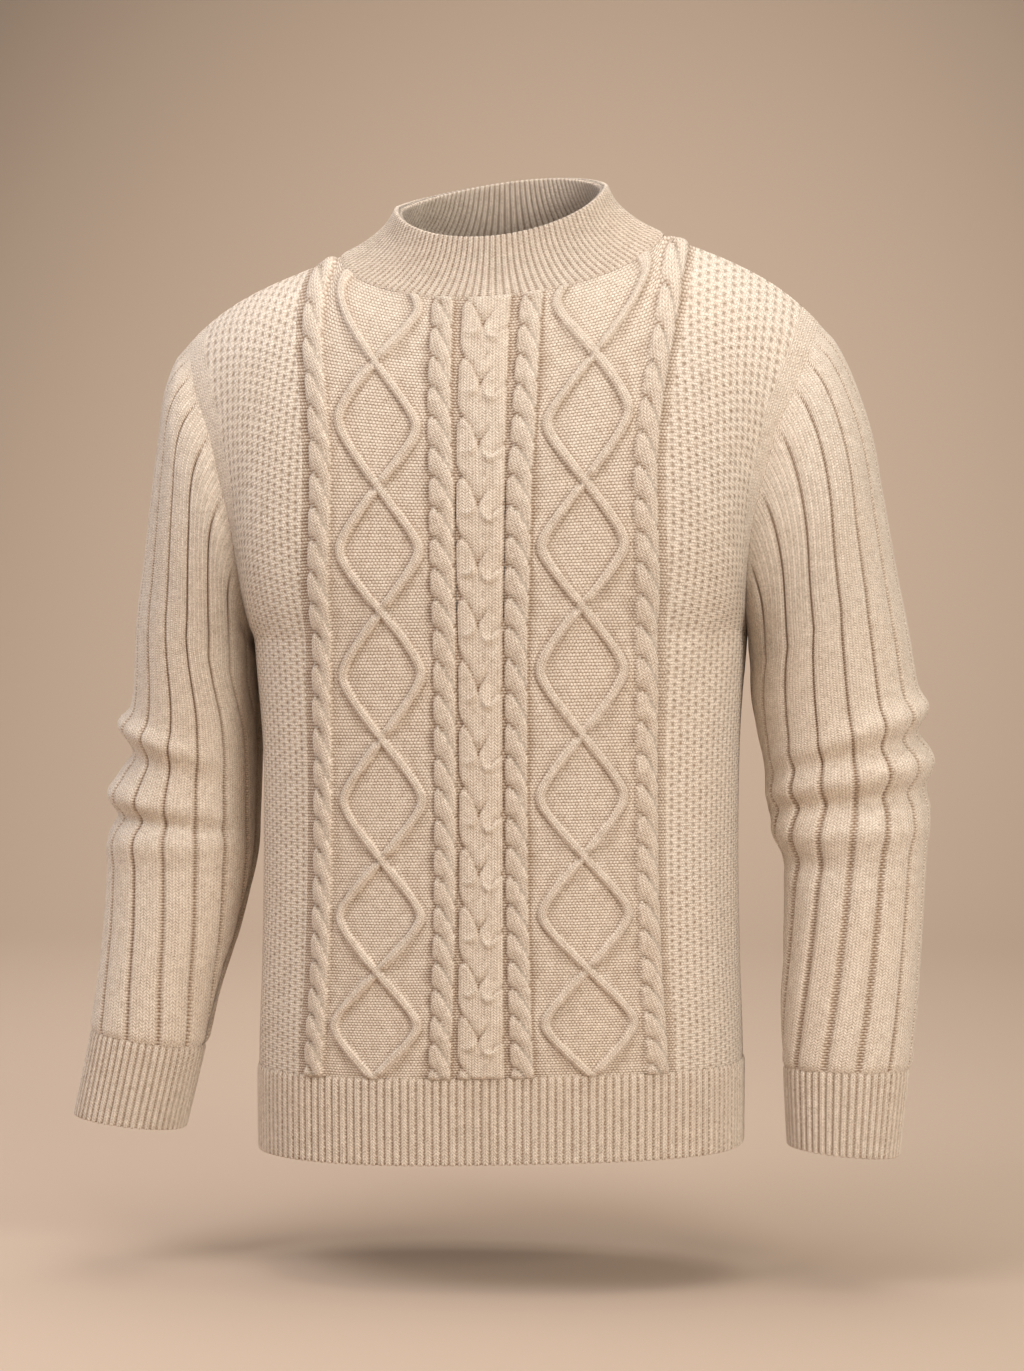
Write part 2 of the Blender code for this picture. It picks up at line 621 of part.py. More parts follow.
def relief(flat, row, kind, lines):
    """Height of the front's pattern at one of its points."""
    size = abs(flat)
    if kind == "plait":
        return float(plait(np.array(flat), row))
    if kind in ("rope_in", "rope_out"):
        centre = math.copysign(lines[kind], flat)
        return float(rope(np.array(flat), row, centre))
    if kind == "ridge":
        return RIDGE_HIGH * (0.75 if lines["swing"] < RIDGE_SIDE else 1.0) * (size > 0)
    return 0.0


def inside_panel(wall, face, rows, shares):
    """Inner skin of a panel: plain, set back from the seams; shares run from 0 to 1, the side."""
    lines = []
    both = [-share for share in reversed(shares) if share] + list(shares)
    for share in both:
        flat = math.copysign(1, share) * side_flat(face, abs(share), rows)
        half = read(SCOOP, "half", np.clip((rows - UNDERARM_ROW) / YOKE_ROWS, 0, 1)) - SET_BACK
        flat = np.clip(flat, -half, half)
        places = np.clip(rows, 0.0, TOP_ROW - 0.7)
        points = panel_point(face, flat, places) - CLOTH * panel_normal(face, flat, places)
        points[0, 2] = panel_point(face, flat, places)[0, 2]
        lines.append(wall.line(rows, points))
    return lines


def side_flat(face, share, rows):
    """Flat distance of a plain column: a share of the way to the side, which scoops at the armhole."""
    half = read(SCOOP, "half", np.clip((rows - UNDERARM_ROW) / YOKE_ROWS, 0, 1))
    return PANEL_HALF * share * (1 - share ** 4 * (1 - half / PANEL_HALF))


def panel_normal(face, flat, row):
    """Unit normal of a panel, pointing out of the garment."""

    def form(u, v):
        return panel_point(face, u, v)

    limit = read(SCOOP, "half", np.clip((row - UNDERARM_ROW) / YOKE_ROWS, 0, 1)) - 0.001
    centre = np.clip(flat, -limit, limit)
    normal = outward(form, centre, row, 0.0008, 0.4, (-PANEL_HALF, PANEL_HALF), (0.0, float(TOP_ROW)))
    return normal if face == "front" else -normal


def trim(flat, row):
    """Keeps a panel's edge half a seam gap back from the seam."""
    way = np.clip((row - UNDERARM_ROW) / YOKE_ROWS, 0, 1)
    half = read(SCOOP, "half", way) - SEAM_GAP / 2
    rows = np.clip(row, 0, TOP_ROW - 0.5 * SEAM_GAP / 0.0024)
    return np.clip(flat, -half, half), rows


def join_panel(wall, outer, inner):
    """Rims of a panel: side, top, other side and bottom."""
    wall.sew(inner[0], outer[0])
    wall.sew(outer[-1], inner[-1])
    for end, near, far in ((-1, outer, inner), (0, inner, outer)):
        spans = []
        for lines in (near, far):
            numbers = [line[end][1] for line in lines]
            spans.append([(wall.points[number][0], number) for number in numbers])
        wall.sew(spans[1], spans[0])


def front_lines(wall):
    """Outer skin of the front, as columns of points from one side seam to the other."""
    fine, coarse, edge = fine_rows(), coarse_rows(), edge_rows()
    samples = [front_columns(row) for row in fine]
    count = len(samples[0][0])
    lines = []

    def column(number, sign):
        flats = np.array([columns[number][0] for columns, _ in samples]) * sign
        highs = [relief(f, row, c[number][1], n) for f, row, (c, n) in zip(flats, fine, samples)]
        fade = np.clip((TOP_ROW - fine) / 6, 0, 1) * np.where(fine > 0, 1, 0.5)
        flats, rows = trim(flats, fine)
        points = panel_point("front", flats, rows)
        push = panel_normal("front", flats, rows) * (np.array(highs) * fade)[:, None]
        push[0, 2] = 0
        return wall.line(fine, points + push)

    def plain(share, sign, rows):
        flats, trimmed = trim(sign * side_flat("front", share, rows), rows)
        return wall.line(rows, panel_point("front", flats, trimmed))

    lines.append(plain(1.0, -1, edge))
    lines += [plain(share, -1, coarse) for share in reversed(SIDE_SHARES)]
    lines += [column(number, -1) for number in range(count - 1, 0, -1)]
    lines += [column(number, 1) for number in range(count)]
    lines += [plain(share, 1, coarse) for share in SIDE_SHARES]
    lines.append(plain(1.0, 1, edge))
    return lines


def back_lines(wall):
    """Outer skin of the back, plain, with more columns under the neckline's corners."""
    coarse, edge = coarse_rows(), edge_rows()

    def plain(flat, sign, rows):
        flats, trimmed = trim(sign * side_flat("back", flat / PANEL_HALF, rows), rows)
        return wall.line(rows, panel_point("back", flats, trimmed))

    lines = [plain(PANEL_HALF, -1, edge)]
    lines += [plain(flat, -1, coarse) for flat in reversed(BACK_COLUMNS[1:])]
    lines += [plain(flat, 1, coarse) for flat in BACK_COLUMNS]
    lines.append(plain(PANEL_HALF, 1, edge))
    return lines


def make_panel(face, collection, material):
    wall = Wall()
    outer = front_lines(wall) if face == "front" else back_lines(wall)
    inner = inside_panel(wall, face, coarse_rows(), INNER_SHARES[face])
    for near, far in zip(outer, outer[1:]):
        wall.sew(near, far)
    for near, far in zip(inner, inner[1:]):
        wall.sew(far, near)
    join_panel(wall, outer, inner)
    return wall.finish(face, collection, material)


# ---------------------------------------------------------------- ribbed bands
def body_loop(place, height):
    """Point round the body: place 0 is the centre front, 1 and -1 the centre back."""
    place, height = np.broadcast_arrays(np.asarray(place, float), np.asarray(height, float))
    size = np.abs(place)
    front = size <= 0.5
    across = np.where(front, 2 * size, 2 * (1 - size))
    front_x, front_y = ring(across, height, "front")
    _, back_y = ring(across, height, "back")
    x = np.sign(place) * front_x
    y = np.where(front, -front_y, back_y)
    return np.stack([x, y, height + lean(x, height)], -1)


def rib_places(ribs):
    """Two points for each rib, its crest and its valley, all the way round."""
    return -1 + (np.arange(2 * ribs) + 0.5) / ribs


def make_welt(collection, material):
    wall = Wall()
    fine = rib_places(WELT_RIBS)
    plain = fine[1::4]
    high = np.where(np.arange(len(fine)) % 2 == 0, FINE_RIB_HIGH, 0)

    def normal(place, height):
        return outward(body_loop, place, height, 0.002, 0.004, (-2, 2), (WELT_END, UNDERARM))

    top = WELT_TOP - SEAM_GAP
    sections = ((top, 1.0), (WELT_END, 0.7))
    outer = []
    for height, share in sections:
        push = normal(fine, height) * (high * share)[:, None]
        push[:, 2] = 0
        outer.append(wall.line(fine, body_loop(fine, height) + push))
    inner = []
    for height in (top, WELT_END):
        push = normal(plain, height) * CLOTH
        push[:, 2] = 0
        inner.append(wall.line(plain, body_loop(plain, height) - push))
    tube(wall, outer[::-1], inner[::-1], 2)
    return wall.finish("hem_rib", collection, material)


def make_cuff(side, collection, material):
    wall = Wall()
    start, end = CUFF_START[side] + SEAM_GAP, CUFF_END[side]
    fine = rib_places(CUFF_RIBS)
    plain = fine[1::4]
    high = np.where(np.arange(len(fine)) % 2 == 0, FINE_RIB_HIGH, 0)
    sign = 1 if side == "right" else -1

    def form(place, along):
        return sleeve_point(side, place, along)

    def normal(place, along):
        return sign * outward(form, place, along, 0.004, 0.004, (-2, 2), (0.3, end))

    outer = []
    for along, share in ((start, 1.0), (0.5 * (start + end), 1.0), (end, 0.7)):
        push = level(side, along, normal(fine, along) * (high * share)[:, None])
        outer.append(wall.line(fine, form(fine, along) + push))
    inner = []
    for along in (start, end):
        push = level(side, along, normal(plain, along) * CLOTH)
        inner.append(wall.line(plain, form(plain, along) - push))
    tube(wall, outer, inner, 2)
    return wall.finish("cuff_" + side, collection, material)


def make_collar(collection, material):
    wall = Wall()
    fine = rib_places(COLLAR_RIBS)
    plain = fine[1::4]
    high = np.where(np.arange(len(fine)) % 2 == 0, FINE_RIB_HIGH, 0)
    base = SEAM_GAP / 0.055

    def normal(place, way):
        return outward(collar_point, place, way, 0.006, 0.03, (-2, 2), (0, 1))

    outer = []
    for way, share in ((base, 0.0), (0.26, 1.0), (0.56, 1.0), (0.88, 1.0)):
        outer.append(wall.line(fine, collar_point(fine, way) + normal(fine, way) * (high * share)[:, None]))
    rim = collar_point(fine, 1.0)
    inward = -normal(fine, 0.95)
    outer.append(wall.line(fine, rim + inward * (0.35 * COLLAR_CLOTH - high * 0.6)[:, None]))
    inner = []
    for way in (0.985, 0.62, 0.30, base + 0.02):
        inner.append(wall.line(plain, collar_point(plain, way) - normal(plain, way) * COLLAR_CLOTH))
    tube(wall, outer, inner[::-1], 2)
    return wall.finish("collar", collection, material)


# ---------------------------------------------------------------- sleeves
def rib_round(side, along):
    """Places of a sleeve's points: the ribs keep their width and crowd together at the underarm seam."""
    half = half_girth(side, max(along, BICEP))
    metres = SLEEVE_PLACES * BICEP_HALF
    crowded = half - RIB_CROWD * np.arange(len(metres), 0, -1)
    place = np.minimum(metres, crowded) / half
    return np.concatenate([-place[::-1], [0], place])


def make_sleeve(side, collection, material):
    wall = Wall()
    groove = np.arange(len(SLEEVE_PLACES)) % 3 == 1
    keys = np.concatenate([-SLEEVE_PLACES[::-1], [0], SLEEVE_PLACES])
    grooves = np.concatenate([groove[::-1], [False], groove])
    end = CUFF_START[side]
    sign = 1 if side == "right" else -1

    def form(place, along):
        return sleeve_point(side, place, along)

    def normal(place, along):
        return sign * outward(form, place, along, 0.004, 0.003, (-2, 2), (0, end))

    def folded(place, along):
        height = fold_height(side, place, along)
        return form(place, along) + normal(place, along) * height[:, None]

    lengths = [0, 0.030, 0.075, 0.130, 0.190, 0.240, 0.285] + [0.285 + 0.016 * k for k in range(1, 8)]
    lengths += [v for v in (0.430, 0.480, 0.530) if v < end - 0.03] + [end]
    outer = []
    clear = np.array([SEAM_GAP * sign, 0, 0])
    for along in lengths:
        place = rib_round(side, along)
        from_seam = np.linalg.norm(form(place, along) - form(place, 0), axis=-1)
        raised = np.where(grooves, 0.0, SLEEVE_RIB_HIGH) * np.clip(from_seam / 0.03, 0, 1)
        push = normal(place, along) * raised[:, None]
        if along == end:
            push = level(side, along, push)
        outer.append(wall.line(keys, folded(place, np.full(len(place), along)) + push + clear))
    inner = []
    for along in [0.008, 0.075, 0.190] + lengths[6:]:
        place = rib_round(side, along)[grooves]
        push = normal(place, along) * CLOTH
        if along == end:
            push = level(side, along, push)
        points = folded(place, np.full(len(place), along)) - push + 2 * clear
        inner.append(wall.line(keys[grooves], points))
    tube(wall, outer, inner, 2)
    return wall.finish("sleeve_" + side, collection, material)


# ---------------------------------------------------------------- the garment
def yarn(name, colour, roughness):
    """Material of one piece: plain yarn, not metallic."""
    material = bpy.data.materials.new(name)
    material.use_nodes = True
    shader = material.node_tree.nodes["Principled BSDF"]
    shader.inputs["Base Color"].default_value = (*colour, 1)
    shader.inputs["Roughness"].default_value = roughness
    shader.inputs["Metallic"].default_value = 0
    return material


def main():
    for old in list(bpy.data.objects):
        bpy.data.objects.remove(old)
    garment = bpy.data.collections.new(NAME)
    bpy.context.scene.collection.children.link(garment)
    cream = (0.70, 0.58, 0.44)
    for face in ("front", "back"):
        make_panel(face, garment, yarn(face + "_yarn", cream, 0.95))
    for side in ("left", "right"):
        make_sleeve(side, garment, yarn("sleeve_" + side + "_yarn", cream, 0.95))
        make_cuff(side, garment, yarn("cuff_" + side + "_yarn", cream, 0.93))
    make_welt(garment, yarn("hem_yarn", cream, 0.93))
    make_collar(garment, yarn("collar_yarn", cream, 0.93))


main()
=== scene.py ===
"""Looks of a cable knit sweater: knitted cloth, cables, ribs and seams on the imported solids.

Every piece of cloth repeats the form of the solid that it stands for, with the knitting on it. Metres,
+Z up, the front facing -Y. Operators build the pieces in order, and a panel in the sidebar lists them.
"""

import math

import bmesh
import bpy
import numpy as np
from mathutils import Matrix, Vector


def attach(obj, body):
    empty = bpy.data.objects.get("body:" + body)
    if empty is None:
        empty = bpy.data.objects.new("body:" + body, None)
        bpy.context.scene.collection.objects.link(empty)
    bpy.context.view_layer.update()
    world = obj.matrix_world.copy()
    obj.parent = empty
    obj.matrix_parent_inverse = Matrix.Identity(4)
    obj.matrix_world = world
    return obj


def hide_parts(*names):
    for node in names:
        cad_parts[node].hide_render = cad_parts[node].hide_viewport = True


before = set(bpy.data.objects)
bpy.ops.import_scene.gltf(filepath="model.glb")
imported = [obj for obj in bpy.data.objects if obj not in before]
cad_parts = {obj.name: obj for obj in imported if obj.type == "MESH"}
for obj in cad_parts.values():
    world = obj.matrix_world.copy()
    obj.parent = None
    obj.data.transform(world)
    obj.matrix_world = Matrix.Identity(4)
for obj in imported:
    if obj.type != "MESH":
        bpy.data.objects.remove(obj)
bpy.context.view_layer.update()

bl_info = {
    "name": "Cable knit sweater",
    "version": (1, 0, 0),
    "blender": (4, 5, 0),
    "location": "3D View > Sidebar > Sweater",
    "description": "Knitted cloth for a cable knit sweater, with its stage",
    "category": "Object",
}

# ---------------------------------------------------------------- driving dimensions
CLOTH = 0.0026            # thickness of the knitted wall, without its relief
COLLAR_CLOTH = 0.0046     # the collar is folded double
UNDERARM = -0.305         # height of the bottom of the armholes
WELT_TOP = -0.635         # height where the panels end and the ribbed welt begins
WELT_END = -0.699
PANEL_HALF = 0.250        # half the width of a panel, laid flat
NECK_HALF = 0.126         # half the width of the neckline
SHOULDER_TIP = (0.247, 0.004, -0.068)
UNDERARM_ROW = 151        # knitted rows from the welt to the underarm
TOP_ROW = 265             # and to the shoulder seam and the neckline
YOKE_ROWS = TOP_ROW - UNDERARM_ROW
RING_SIZE = (0.188, 0.121)  # half width and depth of the ring that spaces the points round the body
RING_SQUARENESS = 2.5     # exponent of the body's rings: 2 is an ellipse
LEAN_REACH = 0.20         # distance from the centre line over which the tilt of the neck fades
SHOULDER_SWELL = {"front": 0.150, "back": 0.080}  # how full the shoulders are under their seams
CRISP_POWER = 8           # how fast the neckline's corners soften below it

WALE = 0.0033             # width of one knitted stitch
COURSE = 0.00227          # height of one knitted row
ROPE_ROWS = 10            # knitted rows between two notches of a rope cable
ROPE_START = 3.7          # row of its first notch
ROPE_SIDE = 0.0092        # half the width of a rope cable
ROPE_DROP = 10.5          # rows that a lobe of it winds down on its way to the right
PLAIT_ROWS = 20           # rows of one repeat of the plait
PLAIT_START = 3.7         # row at which a leaf starts on its left edge
PLAIT_SIDE = 0.0163       # half the width of the plait
PLAIT_WALE = 0.0045       # width of one of its stitches
DIAMOND_ROWS = 40         # rows of one diamond, from crossing to crossing
ROUNDING = 0.22           # how round its side corners are
RIDGE_SIDE = 0.0035       # half the width of a lattice ridge
WELT_RIBS = 166
COLLAR_RIBS = 124
CUFF_RIBS = 50
SLEEVE_RIB_PITCH = 0.025
SLEEVE_RIB_BULGE = 0.0008  # how far a sleeve's rib bulges between its grooves
SLEEVE_GROOVE = 0.0011    # from a groove's middle to the flat of a rib
FOLD_LIFT = 1.22          # the knitting's folds stand a little higher than the wall's
RIB_CROWD = 0.00012       # least distance between a sleeve's points, where its ribs run out
SMOOTH_WIDE = 0.013       # width of the smooth band beside an armhole
SMOOTH_BELOW = 14         # rows below the underarm at which it starts
SMOOTH_HIGH = 0.0002
SEAM_DEPTH = 0.0004       # depth of the soft line at a seam
SEAM_WIDTH = 0.0015
OVERLAP = 0.0005          # how far a sewn-on piece's first row of points reaches over its seam
# painted shade in hollows: the lower a point lies below those around it, the darker its colour is painted
HOLLOW_REACH = 2          # points to each side that a point's height is compared with
HOLLOW_DEPTH = 0.0012     # depth below them at which a hollow has its full shade
HOLLOW_PAINTED_SHADE = 0.55
BACK_ROWS = 220           # rows of points up the back
SLEEVE_ROWS = 250         # rows of points down a sleeve
LINING_COLUMNS = 19       # columns of points across a panel's inside
LINING_ROWS = 70          # rows of points down a sleeve's inside
KNIT, PURL, MOSS = 0.0, 1.0, 2.0
ABSENT = -1               # height of a layer of knitting where it has no stitches


# ---------------------------------------------------------------- tables
def table(columns, *rows):
    """A table with named columns: one row for each section, its first column rising."""
    return {name: np.array([row[i] for row in rows], float) for i, name in enumerate(columns.split())}


def read(rows, column, at):
    """Smooth value of a column: a cubic through the sections."""
    keys = next(iter(rows.values()))
    values = rows[column]
    slopes = np.gradient(values, keys)
    at = np.clip(at, keys[0], keys[-1])
    k = np.clip(np.searchsorted(keys, at, side="right") - 1, 0, len(keys) - 2)
    span = keys[k + 1] - keys[k]
    t = (at - keys[k]) / span
    rise = values[k + 1] - values[k]
    a = slopes[k] * span - rise
    b = -slopes[k + 1] * span + rise
    return values[k] + t * rise + t * (1 - t) * ((1 - t) * a + t * b)


BODY = table(
    "height half_width front_depth back_depth",
    (-0.699, 0.1885, 0.1210, 0.1130),
    (-0.635, 0.1888, 0.1225, 0.1140),
    (-0.550, 0.1862, 0.1215, 0.1120),
    (-0.450, 0.1850, 0.1215, 0.1105),
    (-0.380, 0.1865, 0.1235, 0.1125),
    (-0.305, 0.1920, 0.1260, 0.1160),
)
ROWS = table("row height", (0, -0.635), (40, -0.555), (80, -0.4705), (120, -0.380), (151, -0.305))
CENTRE = {
    "front": table("way depth", (0, 0.1260), (0.25, 0.1270), (0.5, 0.1225), (0.75, 0.1095), (1, 0.0850)),
    "back": table("way depth", (0, 0.1160), (0.25, 0.1225), (0.5, 0.1225), (0.75, 0.1080), (1, 0.0750)),
}
ARMHOLE = table(
    "way out forward height",
    (0.00, 0.1920, 0.0000, -0.305),
    (0.10, 0.1922, 0.0300, -0.298),
    (0.21, 0.1932, 0.0540, -0.280),
    (0.33, 0.1955, 0.0690, -0.252),
    (0.46, 0.2000, 0.0745, -0.218),
    (0.60, 0.2090, 0.0715, -0.182),
    (0.72, 0.2185, 0.0630, -0.148),
    (0.83, 0.2310, 0.0470, -0.118),
    (0.92, 0.2415, 0.0240, -0.088),
    (1.00, 0.2470, -0.004, -0.068),
)
SCOOP = table(
    "way half",
    (0, 0.250), (0.1, 0.240), (0.3, 0.228), (0.6, 0.229), (0.85, 0.242), (1, 0.250),
)
NECKLINE = {"front": {"depth": 0.085, "height": -0.050}, "back": {"depth": 0.075, "height": 0.012}}
NECK_SIDE = {"depth": -0.004, "height": 0.000}
COLLAR = table(
    "way inward upward",
    (0, 0, 0), (0.25, 0.34, 0.20), (0.5, 0.63, 0.43), (0.75, 0.86, 0.70), (1, 1, 1),
)
RIM_HALF = 0.0822         # half the width of the collar's rim
RIM_SIDE = {"depth": -0.001, "height": 0.0365}
RIM = {"front": {"depth": 0.0700, "height": -0.003}, "back": {"depth": 0.0600, "height": 0.0555}}
PATTERN = table(
    "height rope_in diamond_in diamond_out rope_out",
    (-0.635, 0.0305, 0.0480, 0.1135, 0.1300),
    (-0.590, 0.0290, 0.0472, 0.1120, 0.1275),
    (-0.510, 0.0272, 0.0453, 0.1090, 0.1250),
    (-0.420, 0.0265, 0.0440, 0.1055, 0.1235),
    (-0.345, 0.0262, 0.0437, 0.1040, 0.1215),
    (-0.273, 0.0254, 0.0412, 0.0985, 0.1158),
    (-0.205, 0.0254, 0.0412, 0.0952, 0.1105),
    (-0.170, 0.0258, 0.0425, 0.0957, 0.1105),
    (-0.130, 0.0280, 0.0440, 0.0990, 0.1145),
    (-0.040, 0.0322, 0.0508, 0.1140, 0.1335),
    (0.000, 0.0338, 0.0528, 0.1175, 0.1385),
)
LEAN = table("height lift", (-0.70, 0.035), (-0.30, 0.030), (-0.075, 0.040), (0.0, 0.071), (0.06, 0.115))
SLEEVE_COLUMNS = "along outer_x outer_z inner_x inner_z depth back"
SLEEVES = {
    "right": table(
        SLEEVE_COLUMNS,
        (0.000, 0.2470, -0.0680, 0.1925, -0.3050, 0.0745, 0.000),
        (0.030, 0.2625, -0.0930, 0.1930, -0.3075, 0.0755, 0.000),
        (0.085, 0.2830, -0.1450, 0.1945, -0.3130, 0.0735, 0.001),
        (0.143, 0.2940, -0.2013, 0.1962, -0.3220, 0.0705, 0.003),
        (0.206, 0.3052, -0.2629, 0.1970, -0.3360, 0.0670, 0.005),
        (0.247, 0.3132, -0.3029, 0.1975, -0.3540, 0.0645, 0.007),
        (0.289, 0.3200, -0.3444, 0.2015, -0.3780, 0.0625, 0.008),
        (0.330, 0.3262, -0.3850, 0.2075, -0.4050, 0.0610, 0.008),
        (0.370, 0.3300, -0.4250, 0.2095, -0.4370, 0.0590, 0.006),
        (0.412, 0.3275, -0.4666, 0.2200, -0.4740, 0.0565, 0.002),
        (0.485, 0.3235, -0.5390, 0.2228, -0.5420, 0.0520, -0.007),
        (0.530, 0.3208, -0.5820, 0.2212, -0.5840, 0.0485, -0.014),
        (0.583, 0.3160, -0.6350, 0.2222, -0.6340, 0.0440, -0.021),
        (0.650, 0.3090, -0.6996, 0.2253, -0.6921, 0.0400, -0.028),
    ),
    "left": table(
        SLEEVE_COLUMNS,
        (0.000, 0.2470, -0.0680, 0.1925, -0.3050, 0.0745, 0.000),
        (0.030, 0.2600, -0.0940, 0.1930, -0.3075, 0.0765, 0.000),
        (0.085, 0.2675, -0.1480, 0.1945, -0.3130, 0.0775, 0.002),
        (0.130, 0.2730, -0.1946, 0.1955, -0.3230, 0.0775, 0.005),
        (0.178, 0.2790, -0.2406, 0.1962, -0.3360, 0.0765, 0.008),
        (0.223, 0.2858, -0.2858, 0.1965, -0.3540, 0.0745, 0.010),
        (0.289, 0.2905, -0.3520, 0.1968, -0.3860, 0.0705, 0.012),
        (0.330, 0.2975, -0.3920, 0.1970, -0.4120, 0.0670, 0.012),
        (0.365, 0.3050, -0.4284, 0.1975, -0.4420, 0.0630, 0.010),
        (0.415, 0.3105, -0.4790, 0.1990, -0.4800, 0.0590, 0.006),
        (0.468, 0.3130, -0.5330, 0.2110, -0.5340, 0.0545, -0.001),
        (0.515, 0.3175, -0.5813, 0.2245, -0.5800, 0.0500, -0.008),
        (0.550, 0.3218, -0.6138, 0.2345, -0.6270, 0.0450, -0.014),
        (0.618, 0.3340, -0.6790, 0.2480, -0.6895, 0.0400, -0.022),
    ),
}
CUFF_START = {"right": 0.583, "left": 0.550}
CUFF_END = {"right": 0.650, "left": 0.618}
ARMHOLE_FADE = 0.16       # length over which the armhole's shape turns into a plain section
BICEP = 0.20              # below this length a rib keeps its distance from the sleeve's outer line
SEAM_PLACE = table(
    "round seam",
    (0, 0), (0.20, 0.095), (0.32, 0.17), (0.44, 0.28), (0.53, 0.40),
    (0.63, 0.54), (0.72, 0.67), (0.80, 0.79), (0.90, 0.91), (1, 1),
)

# creases of the plait: how far across it they lie (the right one's from its right edge), how many
# rows below their notch, and how deep they are
CREASES = {
    "left": table(
        "across down deep",
        (0, -0.3, 0.9), (0.10, 0, 1), (0.15, 0.3, 1), (0.22, 1.3, 1), (0.30, 3.3, 1), (0.377, 5.8, 1),
        (0.43, 7.9, 1), (0.46, 9.1, 0.9), (0.50, 11, 0), (1, 12, 0),
    ),
    "right": table(
        "across down deep",
        (0, -0.2, 0.6), (0.07, 0, 0.6), (0.14, 0.7, 0.6), (0.21, 1.6, 0.6),
        (0.25, 3.0, 0.45), (0.275, 4.6, 0.15), (0.30, 6.5, 0), (1, 12, 0),
    ),
    "v": table(
        "across down deep",
        (0, 12, 0), (0.42, 10, 0), (0.455, 8.9, 0.9), (0.545, 6.8, 0.9),
        (0.62, 5.2, 0.6), (0.70, 4, 0), (1, 3, 0),
    ),
}

# folds of each sleeve: length down the arm, where round it (0 outer edge, 0.5 front, 1 underarm,
# negative behind), how far it reaches round, how high it stands, half its width and its slant
FOLD_COLUMNS = "along round reach high wide slant"
FOLDS = {
    "right": table(
        FOLD_COLUMNS,
        (0.308, 0.15, 0.75, 0.0061, 0.0110, 0.020),
        (0.327, 0.20, 0.70, -0.0054, 0.0080, 0.020),
        (0.349, 0.25, 0.70, 0.0057, 0.0110, 0.012),
        (0.370, 0.45, 0.60, -0.0081, 0.0085, 0.006),
        (0.396, 0.50, 0.55, 0.0047, 0.0110, -0.006),
        (0.420, 0.70, 0.35, -0.0034, 0.0100, -0.020),
    ),
    "left": table(
        FOLD_COLUMNS,
        (0.312, 0.05, 0.70, 0.0078, 0.0100, 0.016),
        (0.334, 0.10, 0.65, -0.0061, 0.0100, 0.014),
        (0.366, 0.15, 0.65, 0.0057, 0.0110, 0.008),
        (0.383, 0.30, 0.55, -0.0061, 0.0075, 0.004),
        (0.404, 0.40, 0.50, 0.0038, 0.0120, -0.008),
    ),
}

# soft troughs and swells of the panels: where they lie (metres from the centre line and row), how
# they run (degrees from level), how long and wide they are and how high they stand
SWELL_COLUMNS = "flat row run long wide high"
SWELLS = {
    "front": table(
        SWELL_COLUMNS,
        (-0.215, 120, 70, 0.080, 0.014, -0.0020),
        (-0.190, 30, 80, 0.060, 0.016, 0.0016),
        (-0.140, 8, 85, 0.040, 0.020, 0.0014),
        (0.020, 12, 90, 0.050, 0.024, 0.0012),
        (0.150, 10, 95, 0.050, 0.018, 0.0014),
        (0.185, 150, 62, 0.070, 0.013, -0.0016),
        (0.205, 60, 95, 0.090, 0.015, -0.0016),
    ),
    "back": table(
        SWELL_COLUMNS,
        (-0.160, 150, 35, 0.070, 0.016, -0.0030),
        (-0.120, 60, 8, 0.090, 0.016, -0.0028),
        (-0.060, 85, -6, 0.100, 0.018, 0.0024),
        (0.030, 30, 5, 0.110, 0.016, -0.0026),
        (0.130, 52, -10, 0.080, 0.015, 0.0024),
        (0.165, 145, -38, 0.070, 0.016, -0.0030),
    ),
}


# ---------------------------------------------------------------- the form of the body
def ring_turns():
    """Turn round a quarter of the body's ring for equal steps along it."""
    turn = np.linspace(0, math.pi / 2, 400)
    power = 2 / RING_SQUARENESS
    x = RING_SIZE[0] * np.sin(turn) ** power
    y = RING_SIZE[1] * np.cos(turn) ** power
    way = np.concatenate([[0], np.cumsum(np.hypot(np.diff(x), np.diff(y)))])
    return way / way[-1], turn


RING_WAY, RING_TURN = ring_turns()


def ring(across, height, face):
    """Point of the body's ring: across runs from 0 at the centre line to 1 at the side seam."""
    turn = np.interp(across, RING_WAY, RING_TURN)
    power = 2 / RING_SQUARENESS
    x = read(BODY, "half_width", height) * np.sin(turn) ** power
    depth = read(BODY, face + "_depth", height) * np.cos(turn) ** power
    return x, depth


def neck_curve(x, half, side, middle):
    """Depth and height of a neck loop at a distance x from the centre line."""
    bow = np.sqrt(np.clip(1 - (x / half) ** 2, 0, 1))
    depth = side["depth"] + (middle["depth"] - side["depth"]) * bow
    height = side["height"] + (middle["height"] - side["height"]) * bow ** 1.15
    return depth, height


def facing(face):
    """-1 for the front, whose depth runs toward -Y, and 1 for the back."""
    return -1 if face == "front" else 1


def side_of(face):
    """Side point of the neckline, with its depth measured toward the face."""
    return {"depth": -facing(face) * NECK_SIDE["depth"], "height": NECK_SIDE["height"]}


